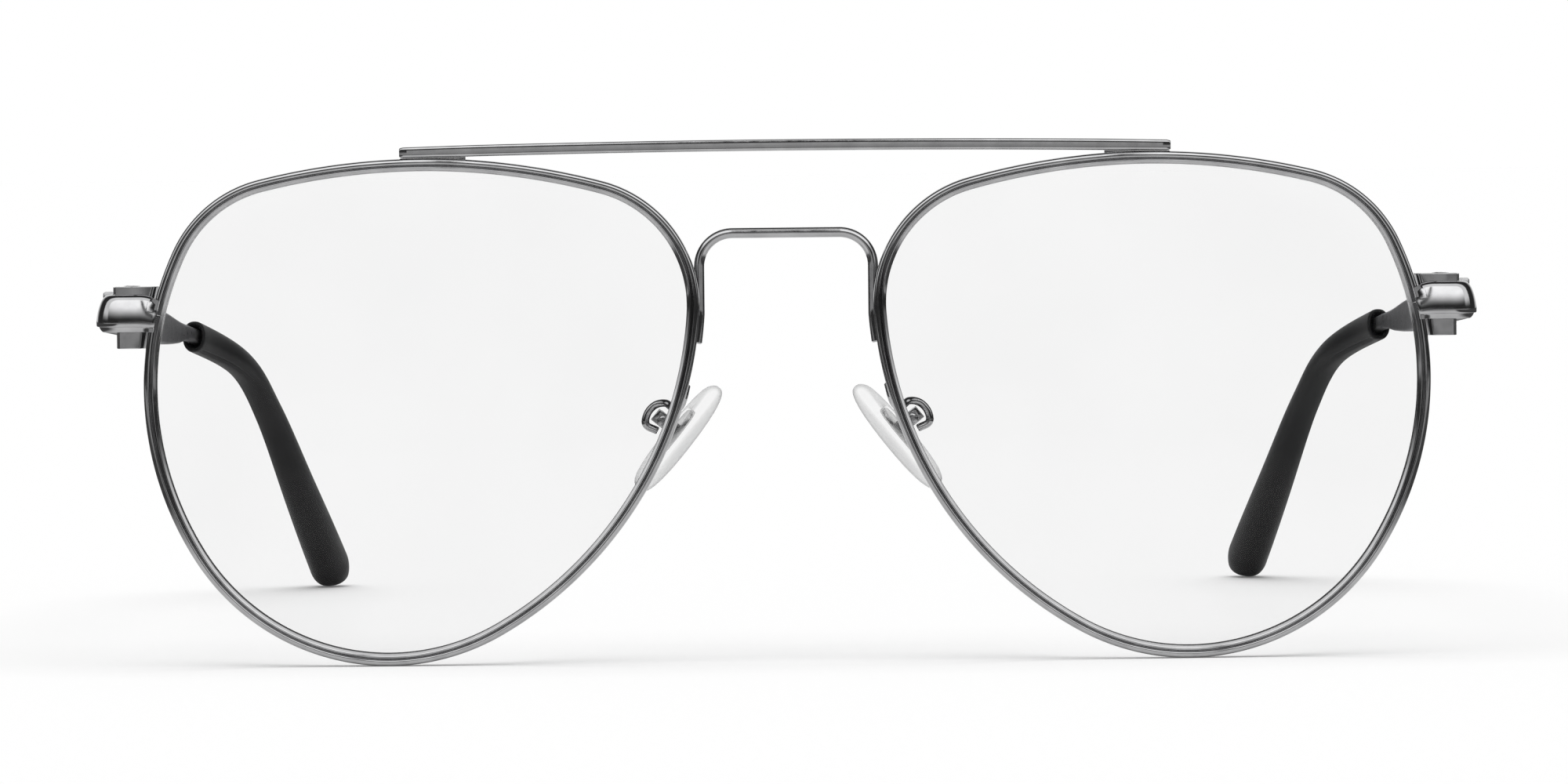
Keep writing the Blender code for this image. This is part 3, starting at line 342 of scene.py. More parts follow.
class Outline:
    """Lens edge of one eye: x grows toward the nose, z up, boxed centre at zero."""

    def __init__(self):
        turns = [CROWN_TURN, TEMPLE_CORNER[1], TEMPLE_SIDE[1], BOTTOM[1], NOSE_FLANK_TURN]
        turns.append(360.0 - sum(turns))
        radii = [0.0, TEMPLE_CORNER[0], TEMPLE_SIDE[0], BOTTOM[0], 0.0, NOSE_CORNER_RADIUS]
        moves = []
        heading = math.radians(OUTLINE_HEADING)
        for turn in turns:
            after = heading + math.radians(turn)
            moves.append((math.sin(after) - math.sin(heading), math.cos(heading) - math.cos(after)))
            heading = after
        gap_x = -sum(r * m[0] for r, m in zip(radii, moves))
        gap_z = -sum(r * m[1] for r, m in zip(radii, moves))
        crown = moves[0]
        flank = moves[4]
        scale = crown[0] * flank[1] - flank[0] * crown[1]
        radii[0] = (gap_x * flank[1] - flank[0] * gap_z) / scale
        radii[4] = (crown[0] * gap_z - gap_x * crown[1]) / scale
        spots = []
        heading = math.radians(OUTLINE_HEADING)
        x = 0.0
        z = 0.0
        for radius, turn in zip(radii, turns):
            count = max(math.ceil(radius * math.radians(turn) / FINE_STEP), math.ceil(turn / FINE_TURN))
            for i in range(count):
                way = heading + math.radians(turn) * i / count
                spots.append((
                    x + radius * (math.sin(way) - math.sin(heading)),
                    z + radius * (math.cos(heading) - math.cos(way)),
                ))
            after = heading + math.radians(turn)
            x += radius * (math.sin(after) - math.sin(heading))
            z += radius * (math.cos(heading) - math.cos(after))
            heading = after
        fitted = []
        for axis, size in enumerate((LENS_WIDTH, LENS_HEIGHT)):
            values = [spot[axis] for spot in spots]
            low = min(values)
            reach = max(values) - low
            fitted.append([((value - low) / reach - 0.5) * size for value in values])
        self.spots = [Vector(pair) for pair in zip(*fitted)]
        count = len(self.spots)
        self.normals = []
        for k in range(count):
            along = self.spots[(k + 1) % count] - self.spots[k - 1]
            self.normals.append(Vector((along.y, -along.x)).normalized())

    def at(self, place, offset):
        k, part = place
        count = len(self.spots)
        a = self.spots[k % count] + offset * self.normals[k % count]
        b = self.spots[(k + 1) % count] + offset * self.normals[(k + 1) % count]
        return a.lerp(b, part)

    def crossing(self, axis, value, nose_side=None, top=None, offset=0.0):
        other = 1 - axis
        for k in range(len(self.spots)):
            a = self.at((k, 0.0), offset)
            b = self.at((k + 1, 0.0), offset)
            if (a[axis] - value) * (b[axis] - value) > 0.0:
                continue
            part = (value - a[axis]) / (b[axis] - a[axis])
            level = a[other] + (b[other] - a[other]) * part
            if nose_side is not None and (level > 0.0) != nose_side:
                continue
            if top is not None and (level > 0.0) != top:
                continue
            return k, part
        return 0, 0.0


OUTLINE = Outline()
LENS_CENTRE_X = 0.5 * (LENS_GAP + LENS_WIDTH)
LENS_CENTRE_Z = 0.5 * LENS_HEIGHT + RIM_WALL


def curve_depth(x, z):
    far = math.sqrt(FRONT_CURVE**2 - (0.5 * LENS_HEIGHT) ** 2)
    return far - math.sqrt(FRONT_CURVE**2 - x * x - z * z)


def eye_place(side, flat, y):
    return Vector((side * (LENS_CENTRE_X - flat.x), y, LENS_CENTRE_Z + flat.y))


def eye_point(side, flat, depth=0.0):
    return eye_place(side, flat, curve_depth(flat.x, flat.y) + depth)


def rim_side(z, offset):
    place = OUTLINE.crossing(1, z - LENS_CENTRE_Z, nose_side=False, offset=offset)
    return LENS_CENTRE_X - OUTLINE.at(place, offset).x


SPLIT_PLACE = OUTLINE.crossing(1, SPLIT_RISE, nose_side=False)
SPLIT_Z = LENS_CENTRE_Z + SPLIT_RISE
SPLIT_EDGE = eye_point(1.0, OUTLINE.at(SPLIT_PLACE, 0.0))
END_Z = SPLIT_Z + END_RISE
BUTT_Y = SPLIT_EDGE.y + END_LENGTH
HINGE_Y = BUTT_Y + 0.5 * BUTT_GAP
BARREL_STACK = 3.0 * BARREL_HEIGHT + 2.0 * BARREL_GAP

# The pack moves the part as a whole: the left hinge's place in the frame tells how far
hinge_place = Vector(next(j for j in frame["joints"] if j["name"] == "left_temple_fold")["pos_m"])
HINGE_X = hinge_place.x
ARM_IN_X = HINGE_X + HINGE_OFFSET
OUT_X = ARM_IN_X + END_THICKNESS
RIM_SIDE_X = OUT_X - END_REACH
SHIFT = Vector((0.0, hinge_place.y - HINGE_Y, hinge_place.z - END_Z))


def rim_shape(side):
    """Wire with a beaded lip, a crease and a rounded outer band, open at the split; section in mm."""
    section = [(0.70, -0.30), (0.70, 0.45), (0.66, 0.70), (0.56, 0.87), (0.42, 0.95), (-0.50, 0.95)]
    section += [(-0.58, 0.91), (-0.60, 0.82), (-0.60, 0.62), (0.10, 0.0), (-0.60, -0.62), (-0.60, -0.65)]
    section += [(-0.59, -0.705), (-0.55, -0.742), (-0.46, -0.808), (-0.37, -0.874), (-0.31, -0.918)]
    section += [(-0.25, -0.938), (-0.205, -0.92), (-0.165, -0.855), (-0.10, -0.735), (-0.02, -0.685)]
    section += [(0.045, -0.72), (0.09, -0.83), (0.12, -0.905), (0.155, -0.937), (0.23, -0.95)]
    section += [(0.34, -0.945), (0.44, -0.92), (0.52, -0.87), (0.58, -0.80), (0.63, -0.71)]
    section += [(0.67, -0.58), (0.692, -0.44)]
    count = len(OUTLINE.spots)
    k, part = SPLIT_PLACE
    half_gap = SPLIT_SHARE * RIM_SPLIT_GAP / (OUTLINE.spots[(k + 1) % count] - OUTLINE.spots[k]).length
    first = k + part + half_gap
    last = k + part - half_gap + count
    travel = [first]
    travel += [spot for spot in range(k + 1, k + 1 + count) if first + 0.2 < spot < last - 0.2]
    travel.append(last)
    rings = []
    for value in travel:
        place = (math.floor(value), value - math.floor(value))
        base = OUTLINE.at(place, 0.0)
        depth = curve_depth(base.x, base.y)
        ring = []
        for out, back in section:
            flat = OUTLINE.at(place, MILLIMETRE * out)
            ring.append(eye_place(side, flat, depth + MILLIMETRE * back))
        rings.append(ring)
    return loft(rings)


def lens_shape(side):
    half = 0.5 * LENS_THICKNESS - LENS_POLISH
    inset = -(RIM_LIP + LENS_PLAY)
    shelf = 0.5 * RIM_DEPTH * 0.65 - 1.5 * LENS_PLAY
    count = len(OUTLINE.spots)

    def ring_at(share, thickness, offset=inset):
        ring = []
        for k in range(count):
            edge = OUTLINE.spots[k]
            flat = OUTLINE.at((k, 0.0), offset) * share
            level = curve_depth(edge.x, edge.y) if share == 1.0 else curve_depth(flat.x, flat.y)
            ring.append(eye_place(side, flat, level + thickness))
        return ring

    shares = [0.02, 0.1, 0.2, 0.3, 0.4, 0.5, 0.6, 0.7, 0.8, 0.9, 0.97, 1.0]
    rings = [ring_at(share, -half) for share in shares]
    rings += [ring_at(1.0, -shelf), ring_at(1.0, 0.0, -LENS_PLAY), ring_at(1.0, shelf)]
    rings += [ring_at(share, half) for share in reversed(shares)]
    return loft(rings)


def rim_top(x):
    place = OUTLINE.crossing(0, LENS_CENTRE_X - x, top=True)
    edge = OUTLINE.at(place, 0.0)
    return LENS_CENTRE_Z + OUTLINE.at(place, RIM_WALL).y, curve_depth(edge.x, edge.y)


def bar_section(x):
    """Underside of the brow bar above the underside of its ends, and its height there."""
    share = 1.0 - (2.0 * x / BAR_SPAN) ** 2
    height = BAR_END_HEIGHT + (BAR_HEIGHT - BAR_END_HEIGHT) * min(1.0, 3.0 * share)
    return BAR_ARCH * share - 0.5 * (height - BAR_END_HEIGHT), height


def bar_seat():
    """Level of the ends' underside at which the bar clears the rims' crowns by the foot height."""
    level = 0.0
    for i in range(FOOT_STEPS + 1):
        x = 0.5 * BAR_SPAN - 2.0 * FOOT_LENGTH * i / FOOT_STEPS
        level = max(level, rim_top(x)[0] - bar_section(x)[0])
    return level + FOOT_HEIGHT


BAR_BASE_Z = bar_seat()
BAR_Y = rim_top(0.5 * BAR_SPAN - 0.5 * FOOT_LENGTH)[1]


def bar_levels(x):
    """Underside and top of the brow bar at a place across the front."""
    rise, height = bar_section(x)
    low = BAR_BASE_Z + rise
    return low, low + height


def brow_bar_shape():
    """Strip with a rounded face and softened ends."""
    stations = [(-0.5, 0.80), (-0.498, 0.93), (-0.495, 1.0)]
    stations += [(i / BAR_STEPS - 0.5, 1.0) for i in range(1, BAR_STEPS)]
    stations += [(0.495, 1.0), (0.498, 0.93), (0.5, 0.80)]
    rings = []
    for share, size in stations:
        x = BAR_SPAN * share
        low, high = bar_levels(x)
        half_y = BAR_FILL * BAR_DEPTH * size
        half_z = BAR_FILL * (high - low) * size
        ring = []
        for across, up in oval(half_y, half_z, BAR_SQUARENESS, BAR_COUNT):
            ring.append(Vector((x, BAR_Y + across, 0.5 * (low + high) + up)))
        rings.append(ring)
    return loft(rings)


def bar_foot_shape(side):
    """Braze between the rim's crown and the bar, hollowed a little on its faces."""
    outer = 0.5 * BAR_SPAN - SEAM_GAP
    ups = [i / FOOT_RISE_STEPS for i in range(FOOT_RISE_STEPS + 1)]
    rings = []
    for i in range(FOOT_STEPS + 1):
        x = outer - FOOT_LENGTH * i / FOOT_STEPS
        low = rim_top(x)[0] + 0.5 * FOOT_SEAM
        high = bar_levels(x)[0] - 0.5 * FOOT_SEAM
        ring = []
        for face, order in ((0.5, ups), (-0.5, reversed(ups))):
            for up in order:
                waist = 1.0 - FOOT_HOLLOW * math.sin(math.pi * up)
                y = BAR_Y + face * FOOT_DEPTH * waist
                ring.append(Vector((side * x, y, low + (high - low) * up)))
        rings.append(ring)
    return loft(rings)


def bridge_shape():
    behind = 0.5 * RIM_DEPTH + 0.5 * BRIDGE_WIRE + SEAM_GAP
    leg = []
    for i in range(LEG_STEPS + 1):
        rise = BRIDGE_LEG_RISE + (BRIDGE_TANGENT_RISE - BRIDGE_LEG_RISE) * i / LEG_STEPS
        place = OUTLINE.crossing(1, rise, nose_side=True)
        leg.append(eye_point(1.0, OUTLINE.at(place, RIM_WALL), behind))
    crest_z = LENS_CENTRE_Z + BRIDGE_RISE
    leg_x = leg[-1].x
    leg_y = leg[-1].y
    corner_z = crest_z - BRIDGE_CORNER
    low_z = leg[-1].z
    for i in range(1, LEG_STEPS):
        leg.append(Vector((leg_x, leg_y, low_z + (corner_z - low_z) * i / LEG_STEPS)))
    for i in range(CORNER_STEPS + 1):
        angle = 0.5 * math.pi * i / CORNER_STEPS
        x = leg_x - BRIDGE_CORNER * (1.0 - math.cos(angle))
        leg.append(Vector((x, leg_y, crest_z - BRIDGE_CORNER * (1.0 - math.sin(angle)))))
    mirrored = [Vector((-p.x, p.y, p.z)) for p in reversed(leg)]
    return wire([*leg, *mirrored], BRIDGE_WIRE)


BLOCK_OUT_X = ARM_IN_X - SEAM_GAP
BLOCK_Y0 = SPLIT_EDGE.y + BLOCK_FRONT + SEAM_GAP
CLOSING_X = 0.5 * (RIM_SIDE_X + BLOCK_OUT_X)
CLOSING_Y = BLOCK_Y0 + 0.5 * BLOCK_DEPTH


def slotted(profile, place, slot_level, slot_end, head):
    """Turned screw with a slot across its head between two levels."""
    rings = []
    for radius, height in profile:
        ring = []
        for i in range(ROUND_STEPS):
            angle = 2.0 * math.pi * i / ROUND_STEPS
            ring.append(place @ Vector((radius * math.cos(angle), radius * math.sin(angle), height)))
        rings.append(ring)
    reach = SLOT_REACH * head
    half = SLOT_HALF_WIDTH * head
    plan = [(-reach, -half), (reach, -half), (reach, half), (-reach, half)]
    tool = loft([[place @ Vector((x, y, level)) for x, y in plan] for level in (slot_level, slot_end)])
    return cut_from(loft(rings), tool)


def closing_screw_shape(side):
    low = SPLIT_Z - BLOCK_BELOW
    high = SPLIT_Z + BLOCK_ABOVE - SCREW_PLAY
    head = 0.5 * CLOSING_HEAD
    shank = 0.5 * CLOSING_SHANK
    seat = low + CLOSING_HEAD_HEIGHT
    place = Matrix.Translation(Vector((side * CLOSING_X, CLOSING_Y, 0.0)))
    place = place @ Matrix.Rotation(CLOSING_TURN, 4, "Z")
    profile = [(0.55 * head, low), (0.86 * head, low + 0.00005), (head, low + 0.0002), (head, seat)]
    profile += [(shank, seat), (shank, high - 0.00015), (0.8 * shank, high)]
    return slotted(profile, place, low - SLOT_OVER, low + CLOSING_SLOT, head)


def hinge_screw_shape(side):
    bottom = END_Z - 0.5 * BARREL_STACK
    seat = bottom + BARREL_STACK + SEAM_GAP
    pin = 0.5 * HINGE_PIN
    head = 0.5 * HINGE_HEAD
    top = seat + HINGE_HEAD_HEIGHT
    place = Matrix.Translation(Vector((side * HINGE_X, HINGE_Y, 0.0)))
    place = place @ Matrix.Rotation(HINGE_TURN, 4, "Z")
    profile = [(0.8 * pin, bottom), (pin, bottom + 0.0001), (pin, seat), (head, seat), (head, top - 0.00022)]
    profile += [(0.95 * head, top - 0.00010), (0.82 * head, top - 0.00002), (0.55 * head, top)]
    return slotted(profile, place, top - HINGE_SLOT, top + SLOT_OVER, head)


def endpiece_shape(side):
    """Rounded lug with a ledge under it: laps the rim, turns the corner and runs back; section in shares."""
    section = [(0.0, -0.50), (0.50, -0.50), (0.58, -0.492), (0.66, -0.47), (0.73, -0.435), (0.79, -0.39)]
    section += [(0.815, -0.362), (0.845, -0.352), (0.91, -0.35), (0.965, -0.34), (0.99, -0.315)]
    section += [(0.995, -0.235), (0.983, -0.165), (0.962, -0.09), (0.933, -0.015), (0.891, 0.07)]
    section += [(0.839, 0.15), (0.78, 0.225)]
    section += [(0.71, 0.30), (0.648, 0.352), (0.573, 0.40), (0.507, 0.432), (0.43, 0.46), (0.365, 0.478)]
    section += [(0.296, 0.49), (0.15, 0.50), (0.0, 0.50)]
    y_in = SPLIT_EDGE.y + BLOCK_FRONT
    lap_y = SPLIT_EDGE.y - 0.5 * RIM_DEPTH - END_LAP_GAP
    start_x = rim_side(END_Z, RIM_WALL - END_LAP)
    bend_x = ARM_IN_X - END_BEND
    base = END_Z - 0.5 * END_HEIGHT
    lap_end = RIM_WALL + END_LAP_GAP
    clear = RIM_WALL + 3.0 * END_LAP_GAP
    lap_edge = ((1.0, 0.5), (0.93, 0.85), (0.8, 1.0), (0.4, 1.0))
    stations = [(RIM_WALL - share * END_LAP, 0.0, full) for share, full in lap_edge]
    stations.append((lap_end, 0.0, 1.0))
    stations += [(clear, i / BEND_STEPS, 1.0) for i in range(BEND_STEPS + 1)]
    rings = []
    for offset, share, fullness in stations:
        near = rim_side(END_Z, offset)
        grown = min(1.0, (near + (bend_x - near) * share - start_x) / END_NECK_LENGTH)
        height = END_NECK_HEIGHT + (END_HEIGHT - END_NECK_HEIGHT) * math.sin(0.5 * math.pi * grown)
        ring = []
        for out, up in section:
            z = base + (up + 0.5) * height
            edge = rim_side(z, offset)
            depth = y_in - out * END_THICKNESS
            if offset < clear:
                front = min(depth, lap_y - END_LAP_EDGE)
                depth = lap_y + (front - lap_y) * fullness if out > 0.0 else lap_y
            ring.append(Vector((side * (edge + (bend_x - edge) * share), depth, z)))
        rings.append(ring)
    stops = []
    for i in range(1, BEND_STEPS + 1):
        angle = 0.5 * math.pi * i / BEND_STEPS
        x = bend_x + END_BEND * math.sin(angle)
        y = y_in + END_BEND * (1.0 - math.cos(angle))
        stops.append((x, y, math.sin(angle), -math.cos(angle), 1.0))
    stops.append((ARM_IN_X, BUTT_Y - END_ROLL, 1.0, 0.0, 1.0))
    stops.append((ARM_IN_X, BUTT_Y, 1.0, 0.0, END_ROLL_SIZE))
    for x, y, out_x, out_y, size in stops:
        ring = []
        for out, up in section:
            reach = out * END_THICKNESS * size
            z = base + (up * size + 0.5) * END_HEIGHT
            ring.append(Vector((side * (x + out_x * reach), y + out_y * reach, z)))
        rings.append(ring)
    return loft(rings)


TEMPLE_Y = BUTT_Y + BUTT_GAP
TEMPLE_X = OUT_X - 0.5 * TEMPLE_THICKNESS
MOUTH = Vector((TEMPLE_X - TEMPLE_TOE_IN, TEMPLE_Y + TEMPLE_LENGTH, END_Z - TEMPLE_DROP))
TIP_END = Vector((MOUTH.x - TIP_INWARD, MOUTH.y + TIP_REACH, TIP_FLOOR))


def whole_line():
    """Middle line of temple and tip, and the place on it where the tip's mouth is."""
    knots = []
    for share in (0.0, 0.33, 0.66, 1.0):
        y = TEMPLE_Y + TEMPLE_STRAIGHT * share
        knots.append(Vector((TEMPLE_X, y, END_Z - 0.62 * TEMPLE_DROP * share)))
    knots.append(knots[-1].lerp(MOUTH, 0.5) + Vector((0.25 * TEMPLE_TOE_IN, 0.0, 0.0)))
    knots.append(MOUTH)
    span = TIP_END - MOUTH
    for in_share, back_share, down_share in ((0.34, 0.29, 0.12), (0.54, 0.49, 0.32), (0.77, 0.74, 0.66)):
        knots.append(MOUTH + Vector((span.x * in_share, span.y * back_share, span.z * down_share)))
    knots.append(TIP_END)
    return smooth_path(knots, LINE_STEPS), 5 * LINE_STEPS


LINE, MOUTH_INDEX = whole_line()
LINE_WAYS = headings(LINE)


def cross_axes(way):
    across = (Vector((1.0, 0.0, 0.0)) - way * way.x).normalized()
    return across, across.cross(way)


def core_end():
    travelled = 0.0
    for i in range(MOUTH_INDEX, len(LINE) - 1):
        if travelled > CORE_INSERT:
            return i
        travelled += (LINE[i + 1] - LINE[i]).length
    return len(LINE) - 2


def temple_shape(side):
    """Flat blade with soft edges that narrows to the core wire."""
    straight_end = TEMPLE_Y + TEMPLE_STRAIGHT
    stations = [(LINE[0], 0, TEMPLE_ROLL_SIZE)]
    stations.append((LINE[0] + Vector((0.0, TEMPLE_ROLL, 0.0)), 0, 1.0))
    stations += [(LINE[i], i, 1.0) for i in range(1, core_end())]
    rings = []
    for spot, i, size in stations:
        share = min(1.0, (spot.y - TEMPLE_Y) / TEMPLE_STRAIGHT)
        height = TEMPLE_FRONT_HEIGHT + (TEMPLE_BACK_HEIGHT - TEMPLE_FRONT_HEIGHT) * share
        thickness = TEMPLE_THICKNESS
        if spot.y > straight_end:
            late = ease(min(1.0, (spot.y - straight_end) / (MOUTH.y - straight_end)))
            height += (CORE_HEIGHT - TEMPLE_BACK_HEIGHT) * late
            thickness += (CORE_THICKNESS - TEMPLE_THICKNESS) * late
            across, up = cross_axes(LINE_WAYS[i])
        else:
            across = Vector((1.0, 0.0, 0.0))
            up = Vector((0.0, 0.0, 1.0))
            spot = Vector((TEMPLE_X, spot.y, spot.z))
        ring = []
        for a, b in soft_box(0.5 * thickness * size, 0.5 * height * size, TEMPLE_EDGE * thickness * size):
            point = spot + a * across + b * up
            ring.append(Vector((side * point.x, point.y, point.z)))
        rings.append(ring)
    return loft(rings)


def tip_size(share, mouth, waist, end):
    if share < TIP_WAIST_SHARE:
        return mouth + (waist - mouth) * ease(share / TIP_WAIST_SHARE)
    return waist + (end - waist) * ease((share - TIP_WAIST_SHARE) / (1.0 - TIP_WAIST_SHARE))


def tip_ring(side, spot, way, width, height, power=TIP_SQUARENESS, crease=0.0):
    """Oval ring, with a pressed line on its inner lower side where a crease is asked for."""
    across, up = cross_axes(way)
    ring = []
    for k, (a, b) in enumerate(oval(0.5 * width, 0.5 * height, power, TIP_COUNT)):
        angle = math.degrees(2.0 * math.pi * (k + 0.5) / TIP_COUNT) - 360.0
        near = (angle - (-180.0 - TIP_CREASE_ANGLE)) / TIP_CREASE_SPREAD
        press = 1.0 - crease * math.exp(-near * near) / (0.5 * min(width, height))
        point = spot + a * press * across + b * press * up
        ring.append(Vector((side * point.x, point.y, point.z)))
    return ring


def tip_shape(side):
    """Moulded sleeve with a flared mouth, a rounded end and a pressed line that fades."""
    first = MOUTH_INDEX
    last = len(LINE) - 1
    way = LINE_WAYS[first]
    outer = []
    for ahead, size in ((0.0, 0.86), (0.05, 0.91), (0.2, 0.95), (0.5, 0.985), (1.0, 1.0)):
        spot = LINE[first] + (TIP_LIP + (TIP_LIP_ROLL - TIP_LIP) * ahead) * way
        outer.append(tip_ring(side, spot, way, size * TIP_MOUTH_WIDTH, size * TIP_MOUTH_HEIGHT))
    end_start = 0.5 * TIP_END_HEIGHT
    for i in range(first + 1, last):
        if (LINE[i] - LINE[first]).length < TIP_LIP_ROLL * 1.3:
            continue
        if (LINE[last] - LINE[i]).length < end_start * 1.04:
            continue
        share = (i - first) / (last - first)
        width = tip_size(share, TIP_MOUTH_WIDTH, TIP_WAIST_WIDTH, TIP_END_WIDTH)
        height = tip_size(share, TIP_MOUTH_HEIGHT, TIP_WAIST_HEIGHT, TIP_END_HEIGHT)
        crease = TIP_CREASE * max(0.0, 1.0 - (share / TIP_CREASE_REACH) ** 3)
        outer.append(tip_ring(side, LINE[i], LINE_WAYS[i], width, height, crease=crease))
    way = LINE_WAYS[last]
    for i in range(TIP_END_STEPS + 1):
        angle = 0.5 * math.pi * i / TIP_END_STEPS
        share = max(0.04, math.cos(angle) ** 0.8)
        spot = LINE[last] + way * (0.52 * math.sin(angle) - 0.5) * TIP_END_HEIGHT
        width = TIP_END_WIDTH * (0.4 + 0.6 * share) if i < TIP_END_STEPS else 0.1 * TIP_END_WIDTH
        outer.append(tip_ring(side, spot, way, width * min(1.0, 0.25 + share), TIP_END_HEIGHT * share))
    way = LINE_WAYS[first]
    lip = LINE[first] + TIP_LIP * way
    bore_width = CORE_THICKNESS + 3.0 * CORE_PLAY
    bore_height = CORE_HEIGHT + 3.0 * CORE_PLAY
    flare = [(lip, 0.8, TIP_SQUARENESS), (lip + 0.0002 * way, TIP_FLARE, TIP_SQUARENESS)]
    flare.append((LINE[first] + 0.8 * TIP_FLARE_DEPTH * way, 0.66, 2.6))
    inner = []
    for spot, size, power in flare:
        inner.append(tip_ring(side, spot, way, size * TIP_MOUTH_WIDTH, size * TIP_MOUTH_HEIGHT, power))
    bore = [(LINE[first] + TIP_FLARE_DEPTH * way, way)]
    bore += [(LINE[i], LINE_WAYS[i]) for i in range(first + 8, core_end() + 1, 4)]
    for spot, way in bore:
        inner.append(tip_ring(side, spot, way, bore_width, bore_height, BORE_SQUARENESS))
    return loft([*reversed(outer), *inner])


def pad_frames(side):
    """Places of the pad's box and of the pad itself, which is splayed."""
    flare = math.radians(PAD_FLARE)
    centre_x = 0.5 * LENS_GAP + PAD_OUTSET
    centre = Vector((centre_x, curve_depth(0.5 * LENS_WIDTH, 0.0) + PAD_SETBACK, LENS_CENTRE_Z + PAD_RISE))
    out = Vector((math.cos(flare), 0.0, math.sin(flare)))
    back = Vector((0.0, 1.0, 0.0))
    along = out.cross(back)
    hang = centre + out * PAD_STEM
    mirror = Matrix.Diagonal((side, 1.0, 1.0, 1.0))
    turn = Matrix((out, back, along)).transposed().to_4x4()
    box = mirror @ Matrix.Translation(hang) @ turn
    splay = Matrix.Rotation(-math.radians(PAD_SPLAY), 4, "Z")
    pad = mirror @ Matrix.Translation(centre - along * PAD_SLIDE) @ turn @ splay
    return box, pad


LIE_DOWN = Matrix.Rotation(math.radians(-90.0), 4, "X")
FACE_OUT = Matrix(((0.0, 0.0, 1.0, 0.0), (1.0, 0.0, 0.0, 0.0), (0.0, 1.0, 0.0, 0.0), (0.0, 0.0, 0.0, 1.0)))


def nose_pad_shape(side):
    """Soft oval pad, crowned toward the nose, with the pocket that its core lies in."""
    place = pad_frames(side)[1] @ FACE_OUT
    rings = []

    def ring_at(half_x, half_y, power, height, narrow_by=PAD_NARROWING):
        ring = []
        for x, y in oval(half_x, half_y, power, PAD_COUNT):
            narrow = 1.0 - narrow_by * y / (0.5 * PAD_LENGTH)
            ring.append(place @ Vector((x * narrow, y, height)))
        rings.append(ring)

    half_w = 0.5 * PAD_WIDTH
    half_l = 0.5 * PAD_LENGTH
    for i in range(PAD_CROWN_STEPS):
        level = -math.cos(0.5 * math.pi * i / PAD_CROWN_STEPS)
        share = max(0.01, (1.0 - abs(level) ** 3.0)) ** 0.30
        ring_at(half_w * share, half_l * share, PAD_SQUARENESS, level * PAD_BULGE)
    edge = [(0.0, 1.0), (0.25, 0.995), (0.45, 0.975), (0.66, 0.945), (0.82, 0.91), (0.93, 0.87), (1.0, 0.81)]
    for height, share in edge:
        ring_at(half_w * share, half_l * share, PAD_SQUARENESS, height * PAD_FRONT_FACE)
    for share in (0.7, 0.62):
        ring_at(half_w * share, half_l * share, 2.3, PAD_FRONT_FACE)
    for wider, deeper in ((POCKET_ROLL, 0.0), (0.0, POCKET_ROLL), (0.0, POCKET_DEPTH)):
        half_x = 0.5 * POCKET_WIDTH + wider
        half_y = 0.5 * POCKET_LENGTH + wider
        ring_at(half_x, half_y, POCKET_SQUARENESS, PAD_FRONT_FACE - deeper, 0.0)
    return loft(rings)


def pad_screw_shape(side):
    box = pad_frames(side)[0]
    outer = 0.5 * LUG_THICKNESS + CHEEK_GAP + CHEEK_THICKNESS
    shank = 0.5 * PAD_SCREW
    head = 0.5 * PAD_SCREW_HEAD
    seat = -outer - SEAM_GAP
    top = seat - PAD_SCREW_HEAD_HEIGHT
    profile = [(0.5 * head, top), (0.78 * head, top + 0.00003), (0.94 * head, top + 0.0001)]
    profile += [(head, top + 0.0002), (head, seat), (shank, seat)]
    profile += [(shank, outer - 0.0001), (0.8 * shank, outer)]
    return slotted(profile, box @ LIE_DOWN, top - PAD_SLOT_OVER, top + PAD_SLOT, head)


def pad_arm_shape(side):
    """Wire brazed along the back of the rim, looping back round the box that it carries."""
    box = pad_frames(1.0)[0]
    behind = 0.5 * RIM_DEPTH + 0.5 * ARM_WIRE + SEAM_GAP
    knots = []
    for rise in (ARM_FOOT_HIGH, ARM_FOOT_LOW):
        place = OUTLINE.crossing(1, rise, nose_side=True)
        knots.append(eye_point(1.0, OUTLINE.at(place, 0.7 * RIM_WALL), behind))
    pivot = box.translation
    back = Vector((0.0, pivot.y - knots[-1].y, 0.0))
    out = (box.to_3x3() @ Vector((1.0, 0.0, 0.0))).normalized()
    along = (box.to_3x3() @ Vector((0.0, 0.0, 1.0))).normalized()
    for angle, depth in ((105.0, 0.42), (65.0, 0.16), (25.0, 0.03), (-15.0, 0.0), (-55.0, 0.0)):
        way = math.radians(angle)
        across = ARM_LOOP_SHIFT + ARM_LOOP_OUT * math.cos(way)
        rise = ARM_LOOP_ALONG * math.sin(way)
        knots.append(pivot - depth * back + out * across + along * rise)
    flank = 0.5 * BOX_WIDTH + SEAM_GAP + 0.5 * ARM_WIRE
    knots.append(pivot + out * ARM_TAIL - along * flank)
    path = [Vector((side * p.x, p.y, p.z)) for p in smooth_path(knots, ARM_STEPS)]
    return wire(path, ARM_WIRE)


# Scales of the patterns, per metre, and heights of the relief, in metres
METAL_CLOUD = 420.0
METAL_POLISH = 1500.0
METAL_LINES = 2600.0
METAL_RELIEF = 0.00002
LENS_HAZE = 60.0
LENS_SMEAR = 160.0
SILICONE_CLOUD = 260.0
SILICONE_SKIN = 1300.0
TIP_PATCH = 240.0
TIP_GRAIN = 5200.0
SOFT_RELIEF = 0.00003
PAPER_GRAIN = 900.0

# How much of what lies behind the clear pieces they hide, seen square on and edge on
LENS_VEIL = (0.044, 0.056)
LENS_EDGE_VEIL = 0.20
LENS_EDGE_LIMITS = (0.55, 1.0)
LENS_IOR = 1.6
SILICONE_VEIL = (0.06, 0.74)
SILICONE_EDGE = 0.24
SILICONE_EDGE_LIMITS = (0.20, 0.72)
SILICONE_IOR = 1.41


